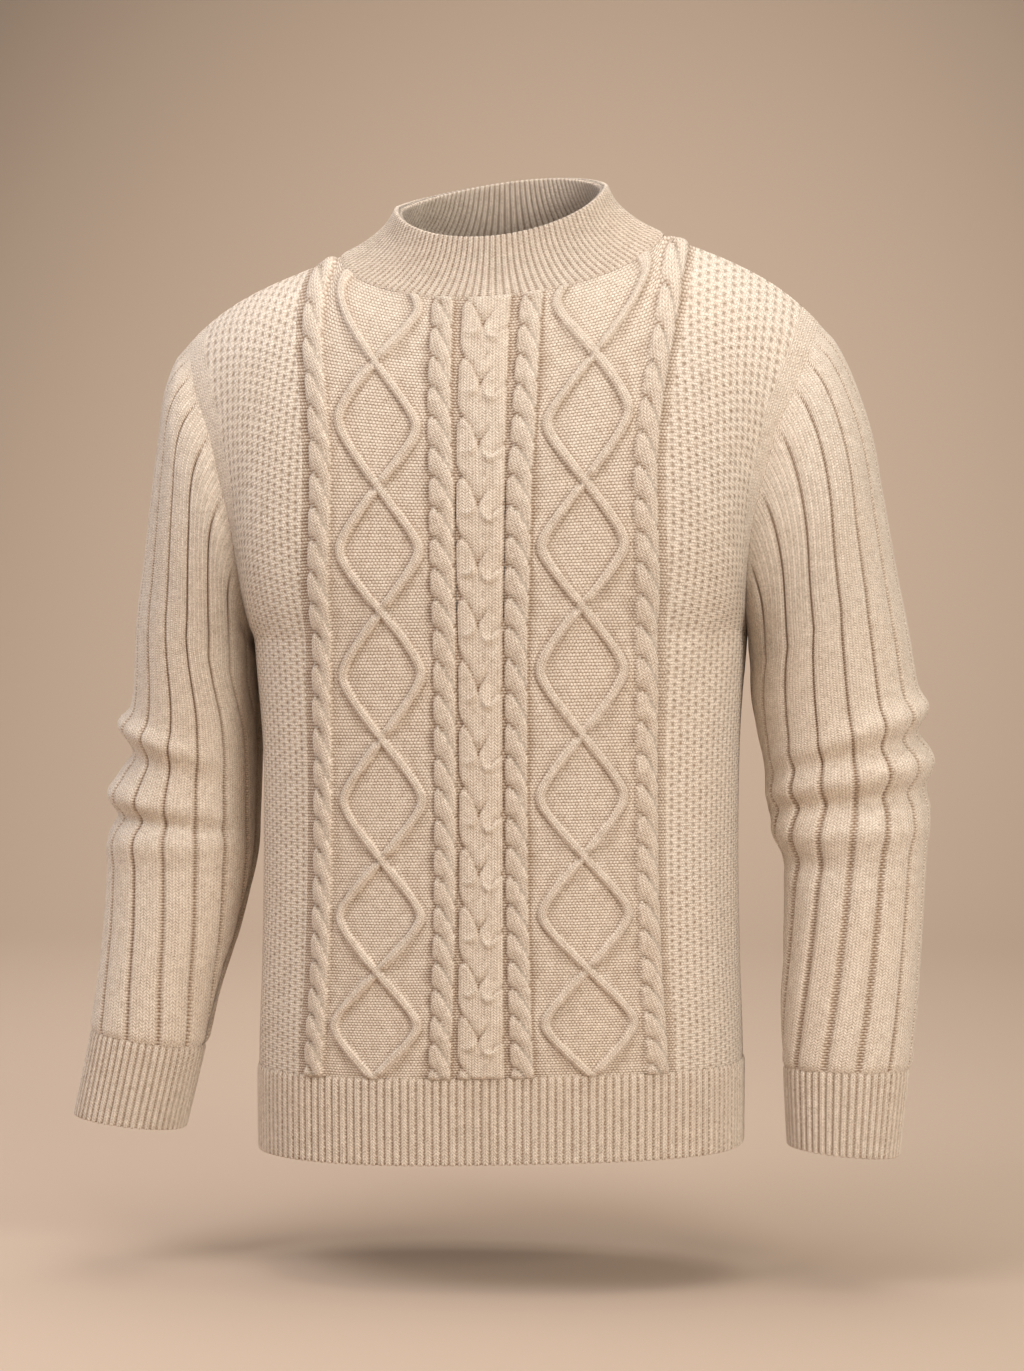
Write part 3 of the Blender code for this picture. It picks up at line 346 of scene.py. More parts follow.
def top_edge(across, way, face):
    """Line that a panel's rows end in: the neckline and shoulder seam at way 1, softer lower down."""
    flat = across * PANEL_HALF
    beyond = np.clip((flat - NECK_HALF) / (PANEL_HALF - NECK_HALF), 0, 1)
    x = np.minimum(flat, NECK_HALF) + beyond * (SHOULDER_TIP[0] - NECK_HALF)
    depth, height = neck_curve(np.minimum(flat, NECK_HALF), NECK_HALF, side_of(face), NECKLINE[face])
    height = height + SHOULDER_TIP[2] * (0.68 * beyond + 0.32 * beyond ** 4)
    middle, tip = NECKLINE[face], SHOULDER_TIP[2]
    edge_tip = facing(face) * SHOULDER_TIP[1]
    soft_depth = edge_tip + (middle["depth"] - edge_tip) * (1 - across ** 2) ** 1.5
    soft_height = middle["height"] + (tip - middle["height"]) * across ** 2
    soft_height = soft_height + SHOULDER_SWELL[face] * across ** 2 * (1 - across ** 2)
    crisp = way ** CRISP_POWER
    return x, soft_depth + (depth - soft_depth) * crisp, soft_height + (height - soft_height) * crisp


def lean(x, z):
    """Lift of a point by the tilt of the worn garment."""
    return read(LEAN, "lift", z) * x / (1 + (x / LEAN_REACH) ** 2)


def yoke_way(row):
    """0 at the underarm's row, 1 at the shoulder seam."""
    return np.clip((row - UNDERARM_ROW) / YOKE_ROWS, 0, 1)


def panel_half(row):
    """Flat half width of a panel, which scoops into the armhole."""
    return read(SCOOP, "half", yoke_way(row))


def panel_point(face, flat, row):
    """Point of a panel's cloth: flat metres from the centre line, and the knitted row."""
    flat, row = np.broadcast_arrays(np.asarray(flat, float), np.asarray(row, float))
    sign = np.where(flat < 0, -1.0, 1.0)
    low_height = read(ROWS, "height", np.minimum(row, UNDERARM_ROW))
    way = yoke_way(row)
    across = np.clip(np.abs(flat) / read(SCOOP, "half", way), 0, 1)
    ring_x, ring_y = ring(across, low_height, face)
    top_x, top_y, top_z = top_edge(across, way, face)
    edge_x, edge_y, edge_z = (read(ARMHOLE, column, way) for column in ("out", "forward", "height"))
    if face == "back":
        edge_y = edge_y + 2 * SHOULDER_TIP[1] * way ** 6
    middle_y = read(CENTRE[face], "depth", way)
    middle_z = (1 - way) * low_height + way * NECKLINE[face]["height"]
    tip_x, _, tip_z = SHOULDER_TIP
    tip_y = facing(face) * SHOULDER_TIP[1]
    bow = ring_y / read(BODY, face + "_depth", low_height)
    top_bow = (top_y - tip_y) / (NECKLINE[face]["depth"] - tip_y)
    early = way * way * (3 - 2 * way)
    late = way ** 2.6
    yoke = row > UNDERARM_ROW
    x = (1 - early) * ring_x + early * top_x
    x = x + yoke * across ** 3 * (edge_x - (1 - early) * ARMHOLE["out"][0] - early * tip_x)
    y = edge_y + (middle_y - edge_y) * ((1 - late) * bow + late * top_bow)
    z = edge_z + (middle_z - edge_z) * bow
    top_z = top_z + (1 - across ** 2) * (middle_z - NECKLINE[face]["height"])
    top_z = top_z + across ** 2 * (edge_z - tip_z)
    z = np.where(yoke, (1 - way) * z + way * top_z, low_height)
    y = np.where(yoke, y, ring_y)
    x = x * sign
    return np.stack([x, facing(face) * y, z + lean(x, z)], -1)


# ---------------------------------------------------------------- the form of the sleeves
def armhole_loop(place):
    """Point of the armhole; place runs from 0 at the shoulder tip to 1 or -1 at the underarm."""
    way = 1 - np.abs(place)
    forward = read(ARMHOLE, "forward", way)
    y = np.where(place >= 0, -forward, forward + 2 * SHOULDER_TIP[1] * way ** 6)
    return np.stack([read(ARMHOLE, "out", way), y, read(ARMHOLE, "height", way)], -1)


def sleeve_section(side, place, along):
    """Point of a plain sleeve section, without the shape of the armhole."""
    rows = SLEEVES[side]
    turn = math.pi * place
    outer_x, outer_z = read(rows, "outer_x", along), read(rows, "outer_z", along)
    inner_x, inner_z = read(rows, "inner_x", along), read(rows, "inner_z", along)
    part = (1 + np.cos(turn)) / 2
    x = inner_x + (outer_x - inner_x) * part
    y = read(rows, "back", along)
    y = y - read(rows, "depth", along) * np.sign(place) * np.abs(np.sin(turn)) ** 0.92
    z = inner_z + (outer_z - inner_z) * part
    return np.stack([x, y, z], -1)


def fold_height(side, place, along):
    """Height of the sleeve's folds: soft ridges and troughs that run round the elbow."""
    rows = FOLDS[side]
    high = np.zeros(np.broadcast(place, along).shape)
    for k in range(len(rows["along"])):
        off = np.mod(place - rows["round"][k] + 1, 2) - 1
        middle = rows["along"][k] + rows["slant"][k] * off
        shape = np.exp(-((along - middle) / rows["wide"][k]) ** 2)
        reach = np.clip(1 - np.abs(off) / rows["reach"][k], 0, 1)
        high = high + FOLD_LIFT * rows["high"][k] * shape * reach ** 0.8
    return high


def seam_place(place):
    """Place on the armhole of what lies at a place round the sleeve."""
    return np.sign(place) * read(SEAM_PLACE, "seam", np.abs(place))


def sleeve_point(side, place, along):
    """Point of a sleeve or cuff: place round it, and metres down the arm from the shoulder tip."""
    place, along = np.broadcast_arrays(np.asarray(place, float), np.asarray(along, float))
    plain = sleeve_section(side, place, along)
    start = sleeve_section(side, place, np.zeros_like(along))
    fade = np.clip(1 - along / ARMHOLE_FADE, 0, 1)
    point = plain + fade[..., None] ** 2 * (armhole_loop(seam_place(place)) - start)
    if side == "left":
        point = point * [-1, 1, 1]
    point[..., 2] += lean(point[..., 0], point[..., 2]) * fade
    return point


def half_girth(side, along):
    """Half the way round a sleeve section."""
    rows = SLEEVES[side]
    a = np.hypot(
        read(rows, "outer_x", along) - read(rows, "inner_x", along),
        read(rows, "outer_z", along) - read(rows, "inner_z", along),
    ) / 2
    b = read(rows, "depth", along)
    return math.pi / 2 * (3 * (a + b) - np.sqrt((3 * a + b) * (a + 3 * b)))


# ---------------------------------------------------------------- the form of the collar and welt
def collar_point(place, way):
    """Point of the collar; place 0 is the centre front, 1 and -1 the centre back."""
    place, way = np.broadcast_arrays(np.asarray(place, float), np.asarray(way, float))
    turn = math.pi * place
    x_share = np.sin(turn)
    inward = read(COLLAR, "inward", way)
    upward = read(COLLAR, "upward", way)
    depths, heights = [], []
    for face in ("front", "back"):
        rim_side = {"depth": -facing(face) * RIM_SIDE["depth"], "height": RIM_SIDE["height"]}
        seam_x, rim_x = np.abs(x_share) * NECK_HALF, np.abs(x_share) * RIM_HALF
        seam_y, seam_z = neck_curve(seam_x, NECK_HALF, side_of(face), NECKLINE[face])
        rim_y, rim_z = neck_curve(rim_x, RIM_HALF, rim_side, RIM[face])
        depths.append(facing(face) * (seam_y + (rim_y - seam_y) * inward))
        heights.append(seam_z + (rim_z - seam_z) * upward)
    front = np.cos(turn) >= 0
    x = x_share * (NECK_HALF + (RIM_HALF - NECK_HALF) * inward)
    y = np.where(front, *depths)
    z = np.where(front, *heights)
    return np.stack([x, y, z + lean(x, z)], -1)


def body_loop(place, height):
    """Point round the body: place 0 is the centre front, 1 and -1 the centre back."""
    place, height = np.broadcast_arrays(np.asarray(place, float), np.asarray(height, float))
    place = np.mod(place + 1, 2) - 1
    size = np.abs(place)
    front = size <= 0.5
    across = np.where(front, 2 * size, 2 * (1 - size))
    front_x, front_y = ring(across, height, "front")
    _, back_y = ring(across, height, "back")
    x = np.sign(place) * front_x
    return np.stack([x, np.where(front, -front_y, back_y), height + lean(x, height)], -1)


def outward(form, u, v, step_u, step_v, limits_u, limits_v):
    """Unit normals of a form at (u, v), measured between nearby points inside its limits."""
    u_low, u_high = np.clip(u - step_u, *limits_u), np.clip(u + step_u, *limits_u)
    v_low, v_high = np.clip(v - step_v, *limits_v), np.clip(v + step_v, *limits_v)
    return unit(np.cross(form(u_high, v) - form(u_low, v), form(u, v_high) - form(u, v_low)))


def ease(value, low, high):
    """0 below low, 1 above high, and a soft step between them."""
    t = np.clip((value - low) / (high - low), 0, 1)
    return t * t * (3 - 2 * t)


def unit(vectors):
    """Vectors of length 1 in the same directions."""
    return vectors / np.linalg.norm(vectors, axis=-1, keepdims=True)


def mirrored(half, sign=-1):
    """A whole row or grid from its right half, whose first column lies on the middle line."""
    return np.concatenate([sign * half[..., :0:-1], half], -1)


# ---------------------------------------------------------------- knitted relief of the front
class Relief:
    """Layers of knitting over a grid of points; the highest layer shows."""

    def __init__(self, shape):
        self.shape = shape
        self.layers = []

    def add(self, high, wale, course, kind, shade=0.0):
        """Adds a layer: its height, its stitches across and up, their kind and the painted shade on them."""
        full = [np.broadcast_to(value, self.shape) for value in (high, wale, course, shade)]
        self.layers.append((*full, kind))

    def high(self):
        """Height of the layer that shows."""
        return np.max([layer[0] for layer in self.layers], 0)

    def hollows(self):
        """How far each point lies below those around it, from 0 to 1."""
        high = np.maximum(self.high(), 0)
        rows, columns = high.shape
        wide = np.pad(high, HOLLOW_REACH, mode="edge")
        steps = range(2 * HOLLOW_REACH + 1)
        around = sum(wide[i:i + rows, j:j + columns] for i in steps for j in steps) / len(steps) ** 2
        return np.clip((around - high) / HOLLOW_DEPTH, 0, 1)

    def stitches(self):
        """Wale, course, kind and painted shade at each face's corners, all from the layer that shows there;
        the hollows get more painted shade.
        """
        high = np.stack([corners(layer[0]).mean(-1) for layer in self.layers])
        top = np.argmax(high, 0)[None, ..., None]
        chosen = []
        for item in (1, 2, 3):
            stack = np.stack([corners(layer[item]) for layer in self.layers])
            chosen.append(np.take_along_axis(stack, np.broadcast_to(top, (1, *stack.shape[1:])), 0)[0])
        kinds = np.array([layer[4] for layer in self.layers])[top[0]]
        # painted shade: the relief's hollows are darkened in the colour, where shade would fall
        shade = chosen[2] + HOLLOW_PAINTED_SHADE * corners(self.hollows())
        return chosen[0], chosen[1], np.broadcast_to(kinds, chosen[0].shape), shade


def corners(grid):
    """Values of a grid at the four corners of each of its faces."""
    return np.stack([grid[:-1, :-1], grid[:-1, 1:], grid[1:, 1:], grid[1:, :-1]], -1)


def pattern_height(row):
    """Height that the pattern's spread is read at."""
    return np.where(row < UNDERARM_ROW, read(ROWS, "height", row), UNDERARM * (1 - yoke_way(row)))


def open_lattice(row):
    """How far the lattice has opened: 0 at a crossing, 1 where its ridges are farthest apart."""
    wave = np.abs(np.mod(row / DIAMOND_ROWS + 0.5, 1.0) - 0.5) * 2
    return 1 - (np.hypot(1 - wave, ROUNDING) - ROUNDING) / (math.hypot(1, ROUNDING) - ROUNDING)


def add_rope(relief, flat, row, centre, high):
    """A rope cable: each lobe starts at a notch on the left edge, winds down to the right and is
    tucked under the next one down."""
    across = (flat - centre + ROPE_SIDE) / (2 * ROPE_SIDE)
    drop = ROPE_DROP * np.clip((across - 0.18) / 0.82, 0, 1) ** 1.6
    turn = (row + drop - ROPE_START) / ROPE_ROWS
    lobe = np.floor(turn)
    up = turn - lobe  # 0 at a lobe's lower edge, 1 at its upper one
    # at the left a lobe ends in deep creases, at the right it rolls softly into the next one
    creased = 1 - ease(across, 0.34, 0.68)
    tucked = 1 - 0.64 * (1 - up) ** 2.6 - 0.12 * up ** 14
    rolling = 0.84 + 0.13 * np.cos(2 * math.pi * (up - 0.62))
    shape = creased * tucked + (1 - creased) * rolling
    # the rope's edges draw in between two lobes
    left = 0.15 * np.abs(2 * up - 1) ** 3
    right = 1 - 0.08 * np.abs(2 * up - 1) ** 3
    inside = (across - left) / (right - left)
    crown = np.sqrt(np.clip(1 - np.abs(2 * inside - 1) ** 3.0, 0, 1))
    # its stitches cross from right to left as they climb
    start = ROPE_START + ROPE_ROWS * lobe - 6
    path = 0.40 * np.cos(math.pi * np.clip((row - start) / 14, 0, 1))
    wale = 4 * (across - 0.5 - 0.5 * path)
    # painted shade in the creases at the left, and softly on the tucked tails of the lobes
    shade = creased * (0.50 * up ** 24 + 0.8 * (1 - up) ** 8) + 0.15 * (1 - creased) * (1 - up) ** 4
    relief.add(np.where(crown > 0, high * crown * shape, ABSENT), wale + 0.5, row, KNIT, shade)


def add_plait(relief, flat, row, side, high):
    """The plait: plump leaves start in turn at its left and right edge, and the left ones meet the
    tails of the right ones in a deep V."""
    across = (flat + side) / (2 * side)
    down = np.mod(PLAIT_START - row, PLAIT_ROWS)
    later = np.mod(down + PLAIT_ROWS / 2, PLAIT_ROWS)
    left = 0.13 * (down / PLAIT_ROWS) ** 7 + 0.10 * np.exp(-down / 1.2)
    right = 1 - 0.05 * (later / PLAIT_ROWS) ** 7 - 0.03 * np.exp(-later / 1.2)
    crown = np.sqrt(np.clip(1 - np.abs(2 * (across - left) / (right - left) - 1) ** 4.5, 0, 1))
    shape = 0.93 + 0.07 * np.cos(2 * math.pi * (down / PLAIT_ROWS - across))
    # painted shade gathers along the creases
    shade = 0 * across
    creases = (("left", across, down), ("right", 1 - across, later), ("v", across, down))
    for crease, inward, since in creases:
        line = CREASES[crease]
        fall = (read(line, "down", inward + 0.01) - read(line, "down", inward - 0.01)) / 0.02
        slope = fall * COURSE / (2 * side)
        below = np.mod(since - read(line, "down", inward) + PLAIT_ROWS / 2, PLAIT_ROWS) - PLAIT_ROWS / 2
        strength = read(line, "deep", inward) * (1 - ease(np.abs(below), 3, 7))
        below = below * COURSE / np.sqrt(1 + slope ** 2)
        groove = np.exp(-np.where(below > 0, below / 0.0007, -below / 0.0024))
        shape = shape * (1 - 0.48 * strength * groove)
        shade = shade + strength * (0.50 * np.exp(-np.abs(below) / 0.0008) + 0.12 * groove)
    # painted shade of a small hole right of the middle, once in each repeat
    hole = ((across - 0.585) * 2 * side) ** 2 + ((down - 19.1) * COURSE) ** 2
    shade = shade + 0.8 * np.exp(-hole / 0.0011 ** 2)
    raised = np.where(crown > 0, high * crown * shape, ABSENT)
    relief.add(raised, across * 2 * side / PLAIT_WALE, row, KNIT, shade)


def add_lattice(relief, flat, row, middle, spread, high):
    """Two ridges that open into diamonds; the one that runs down to the right lies over the other."""
    swing = spread * open_lattice(row)
    slope = spread * (open_lattice(row + 0.5) - open_lattice(row - 0.5)) / COURSE
    half = RIDGE_SIDE * np.sqrt(1 + slope ** 2)
    above = np.mod(row, DIAMOND_ROWS) < DIAMOND_ROWS / 2
    for side in (-1, 1):
        off = (flat - middle - side * swing) / half
        crown = np.sqrt(np.clip(1 - np.abs(off) ** 2.8, 0, 1))
        over = above if side < 0 else ~above
        # the ridge that passes below the other one sinks at their crossing
        dip = np.where(over, 1.0, 0.15 + 0.85 * ease(2 * swing / half, 0.4, 1.9))
        raised = np.where(crown > 0, high * crown * dip, ABSENT)
        relief.add(raised, off, row * 1.2, KNIT)


def front_columns(row):
    """Distances from the centre line of the front's points at each row, closer on its cables, and
    the lines that the cables follow."""
    height = pattern_height(row)
    rope_in, inner, outer, rope_out = (read(PATTERN, c, height) for c in list(PATTERN)[1:])
    plait_side = PLAIT_SIDE * (0.5 + 0.5 * rope_in / PATTERN["rope_in"].min())
    middle, spread = (inner + outer) / 2, (outer - inner) / 2
    foot = RIDGE_SIDE * 1.25
    swing = np.maximum(spread * open_lattice(row), foot + 0.0005)
    last = middle + swing + foot
    # each edge's distance, and how many columns lead up to it
    edges = (
        (0 * row, 0), (plait_side, 18), (rope_in - ROPE_SIDE, 3), (rope_in + ROPE_SIDE, 15),
        (middle - swing - foot, 5), (middle - swing + foot, 9), (middle + swing - foot, 12), (last, 9),
        (last + 0.26 * (rope_out - ROPE_SIDE - last), 1), (rope_out - ROPE_SIDE, 4),
        (rope_out + ROPE_SIDE, 14), (panel_half(row), 38),
    )
    columns = [edges[0][0]]
    for (near, _), (far, count) in zip(edges, edges[1:]):
        columns += [near + (far - near) * (k + 1) / count for k in range(count)]
    half = np.stack(columns, -1)
    lines = {
        "rope_in": rope_in, "rope_out": rope_out, "middle": middle, "spread": spread, "plait": plait_side,
    }
    return mirrored(half), lines


def swell(face, flat, row):
    """Height of a panel's soft troughs and swells."""
    rows = SWELLS[face]
    high = 0 * flat
    for k in range(len(rows["flat"])):
        dx = flat - rows["flat"][k]
        dz = (row - rows["row"][k]) * COURSE
        run = math.radians(rows["run"][k])
        along = dx * math.cos(run) + dz * math.sin(run)
        across = dz * math.cos(run) - dx * math.sin(run)
        far = (across / rows["wide"][k]) ** 2 + (along / rows["long"][k]) ** 2
        high = high + rows["high"][k] * np.exp(-far)
    return high


def seam_dip(distance):
    """Height of the soft line where a piece is sewn to the next one, which lies below the rest."""
    return -SEAM_DEPTH * np.exp(-(distance / SEAM_WIDTH) ** 2)


# ---------------------------------------------------------------- cloth meshes
def place_in_scene(name, data):
    """A new object in the scene."""
    item = bpy.data.objects.new(name, data)
    bpy.context.scene.collection.objects.link(item)
    return item


class Cloth:
    """Points, faces and stitch coordinates of one piece of cloth."""

    def __init__(self):
        self.points = []
        self.total = 0
        self.faces = []
        self.stitch = []
        self.kind = []
        self.lips = []

    def skin(self, points, wale, course, kind, shade=0.0, round_closed=False, along_closed=False):
        """Adds a grid of points with a stitch at each corner of its faces; returns their numbers.

        A closed grid repeats its first column or row at its end."""
        rows, columns = points.shape[:2]
        number = self.total + np.arange(rows * columns).reshape(rows, columns)
        self.points.append(points.reshape(-1, 3))
        self.total += rows * columns
        if round_closed:
            number[:, -1] = number[:, 0]
        if along_closed:
            number[-1] = number[0]
        self.faces.append(corners(number).reshape(-1, 4))
        values = []
        for value in (wale, course, kind, shade):
            if np.ndim(value) < 3:
                value = corners(np.broadcast_to(value, (rows, columns)))
            values.append(value.reshape(-1))
        self.stitch.append(np.stack(values[:2], -1))
        self.kind.append(np.stack(values[2:], -1))
        return number

    def plain(self, faces):
        """Adds faces of plain purl that carry no stitches of their own."""
        self.faces.append(faces)
        self.stitch.append(np.zeros((faces.size, 2)))
        self.kind.append(np.tile([PURL, 0.0], (faces.size, 1)))

    def sew(self, near, near_places, far, far_places):
        """Fills the strip between two rows of points with triangles, in step with their places."""
        triangles = []
        i = j = 0
        while i < len(near) - 1 or j < len(far) - 1:
            next_near = near_places[i] + near_places[i + 1] if i < len(near) - 1 else math.inf
            next_far = far_places[j] + far_places[j + 1] if j < len(far) - 1 else math.inf
            if next_near <= next_far:
                triangles.append((near[i], near[i + 1], far[j]))
                i += 1
            else:
                triangles.append((far[j], near[i], far[j + 1]))
                j += 1
        self.plain(np.array(triangles))

    def finish(self, name, material):
        """Makes the object, which stands for the solid of the same name."""
        points = np.concatenate(self.points)
        faces = [tuple(face) for group in self.faces for face in group.tolist()]
        used = np.unique(np.concatenate([group.ravel() for group in self.faces]))
        renumber = np.zeros(len(points), int)
        renumber[used] = np.arange(len(used))
        faces = [tuple(renumber[list(face)]) for face in faces]
        mesh = bpy.data.meshes.new(name + "_knit")
        mesh.from_pydata(points[used], [], faces)
        # the kind layer carries each stitch's kind and its painted shade
        for layer, values in (("stitch", self.stitch), ("kind", self.kind)):
            uv = mesh.uv_layers.new(name=layer)
            uv.uv.foreach_set("vector", np.concatenate(values).astype(np.float32).ravel())
        shape = bmesh.new()
        shape.from_mesh(mesh)
        bmesh.ops.recalc_face_normals(shape, faces=shape.faces)
        shape.to_mesh(mesh)
        shape.free()
        mesh.shade_smooth()
        at_lip = np.zeros(len(points), bool)
        at_lip[renumber[np.concatenate(self.lips)]] = True
        ends = np.zeros(2 * len(mesh.edges), np.int32)
        mesh.edges.foreach_get("vertices", ends)
        sharp = mesh.attributes.new("sharp_edge", "BOOLEAN", "EDGE")
        sharp.data.foreach_set("value", at_lip[ends.reshape(-1, 2)].all(1))
        mesh.materials.append(material)
        piece = place_in_scene(name + "_knit", mesh)
        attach(piece, "root")
        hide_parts(name)
        return piece


# ---------------------------------------------------------------- panels
def panel_normal(face, flat, row):
    """Unit normal of a panel, pointing out of the garment."""
    limit = panel_half(row) - 0.001
    centre = np.clip(flat, -limit, limit)

    def form(u, v):
        return panel_point(face, u, v)

    normal = outward(form, centre, row, 0.0008, 0.4, (-PANEL_HALF, PANEL_HALF), (0.0, float(TOP_ROW)))
    return normal if face == "front" else -normal


def panel_seams(flat, row):
    """Distance of a panel's points from its nearest seam."""
    return np.minimum(np.minimum(panel_half(row) - np.abs(flat), (TOP_ROW - row) * COURSE), row * COURSE)


def lay_panel(cloth, face, flat, row, relief):
    """Outer skin with its relief, plain inner skin and rims of a panel."""
    seam = panel_seams(flat, row)
    high = relief.high() * ease(seam, -0.002, 0.0015)
    high = high + swell(face, flat, row) * ease(seam, 0, 0.05) + seam_dip(seam)
    points = panel_point(face, flat, row) + panel_normal(face, flat, row) * high[..., None]
    points[0, :, 2] = panel_point(face, flat[0], row[0])[:, 2]
    outer = cloth.skin(points, *relief.stitches())
    inner_half = panel_half(row[:, 0]) - 0.0006
    inner_flat = np.stack([share * inner_half for share in np.linspace(-1, 1, LINING_COLUMNS)], 1)
    inner_row = np.broadcast_to(np.minimum(row[:, :1], TOP_ROW - 0.4), inner_flat.shape)
    low = np.minimum(relief.high().min(), 0) + swell(face, inner_flat, inner_row) * 0.9
    depth = (CLOTH - low)[..., None]
    points = panel_point(face, inner_flat, inner_row) - panel_normal(face, inner_flat, inner_row) * depth
    points[0, :, 2] = panel_point(face, inner_flat[0], inner_row[0])[:, 2]
    inner = cloth.skin(points, inner_flat / WALE, inner_row, PURL)
    cloth.lips += [outer[0], outer[-1], outer[:, 0], outer[:, -1]]
    for column in (0, -1):
        rim = np.stack([outer[:, column], inner[:, column]], 1)
        cloth.plain(corners(rim).reshape(-1, 4))
    for line in (0, -1):
        cloth.sew(outer[line], flat[line], inner[line], inner_flat[line])


def smooth_band(flat, row):
    """Where a panel is knitted smooth: a band beside the armhole."""
    return (panel_half(row) - np.abs(flat) < SMOOTH_WIDE) & (row > UNDERARM_ROW - SMOOTH_BELOW)


def add_smooth_band(relief, flat, row):
    """The smooth band, with its stitches counted from the armhole."""
    high = np.where(smooth_band(flat, row), SMOOTH_HIGH, ABSENT)
    relief.add(high, (panel_half(row) - np.abs(flat)) / WALE, row, KNIT)


def make_front(sizes, material):
    """The front: plait, ropes and lattices between panels of moss stitch."""
    rows = np.linspace(0, TOP_ROW, sizes.front_rows)
    flat, lines = front_columns(rows)
    row = np.broadcast_to(rows[:, None], flat.shape)
    line = {name: value[:, None] for name, value in lines.items()}
    relief = Relief(flat.shape)
    size = np.abs(flat)
    rope_in, rope_out = line["rope_in"], line["rope_out"]
    # purl lies behind the cables, moss stitch beside them
    field = size < rope_out + ROPE_SIDE + 0.0040
    moss = ~field & ~smooth_band(flat, row)
    # painted shade in the gutters beside the ropes, heavier on the left half, away from the key light
    gutter_shade = np.where(flat < 0, 0.5, 0.2) * ease(size, rope_out + 0.7 * ROPE_SIDE, rope_out + ROPE_SIDE)
    gutter_shade = gutter_shade + 0.4 * (1 - ease(size, rope_in + ROPE_SIDE, rope_in + 1.15 * ROPE_SIDE))
    relief.add(np.where(field, 0.0, ABSENT), flat / WALE, row, PURL, gutter_shade)
    relief.add(np.where(moss, 0.0, ABSENT), (flat - np.sign(flat) * 0.002) / WALE, row, MOSS)
    add_smooth_band(relief, flat, row)
    add_plait(relief, flat, row, line["plait"], sizes.plait_high)
    for sign in (-1, 1):
        for name in ("rope_in", "rope_out"):
            add_rope(relief, flat, row, sign * line[name], sizes.rope_high)
        add_lattice(relief, flat, row, sign * line["middle"], line["spread"], sizes.ridge_high)
    cloth = Cloth()
    lay_panel(cloth, "front", flat, row, relief)
    return cloth.finish("front", material)


def make_back(material):
    """The back, in moss stitch, with a smooth band beside each armhole."""
    rows = np.linspace(0, TOP_ROW, BACK_ROWS)
    neck, shoulder = np.linspace(0, NECK_HALF, 80)[:-1], np.linspace(NECK_HALF, PANEL_HALF, 76)
    shares = mirrored(np.concatenate([neck, shoulder]) / PANEL_HALF)[None, :]
    scoop = (panel_half(rows)[:, None] - PANEL_HALF) * np.abs(shares) ** 4
    flat = shares * (PANEL_HALF + scoop)
    row = np.broadcast_to(rows[:, None], flat.shape)
    relief = Relief(flat.shape)
    relief.add(np.where(smooth_band(flat, row), ABSENT, 0.0), flat / WALE, row, MOSS)
    add_smooth_band(relief, flat, row)
    cloth = Cloth()
    lay_panel(cloth, "back", flat, row, relief)
    return cloth.finish("back", material)


# ---------------------------------------------------------------- sleeves
# a rib's columns of points, as shares of the ribs' pitch: from its groove to its middle, and those
# of the first rib from the sleeve's outer line to its groove
RIB_STEPS = (0.0, 0.022, 0.045, 0.070, 0.11, 0.17, 0.26, 0.36)
FIRST_STEPS = (0.0, 0.14, 0.24, 0.33, 0.39, 0.43, 0.455, 0.478)


def rib_metres(half):
    """Distances from a sleeve's outer line of its points, closer at the grooves."""
    steps = np.array(RIB_STEPS)
    metres = list(FIRST_STEPS)
    for k in range(int(half / SLEEVE_RIB_PITCH) + 1):
        metres += list(0.5 + k + steps) + list(1.5 + k - steps[:0:-1])
    metres = np.array(metres) * SLEEVE_RIB_PITCH
    return np.concatenate([metres[metres < half - 0.001], [half]])


def reach_over(first, second):
    """A piece's first row of points, moved a little away from its second one and over the seam."""
    return first - OVERLAP * (second - first) / np.linalg.norm(second - first, axis=-1, keepdims=True)


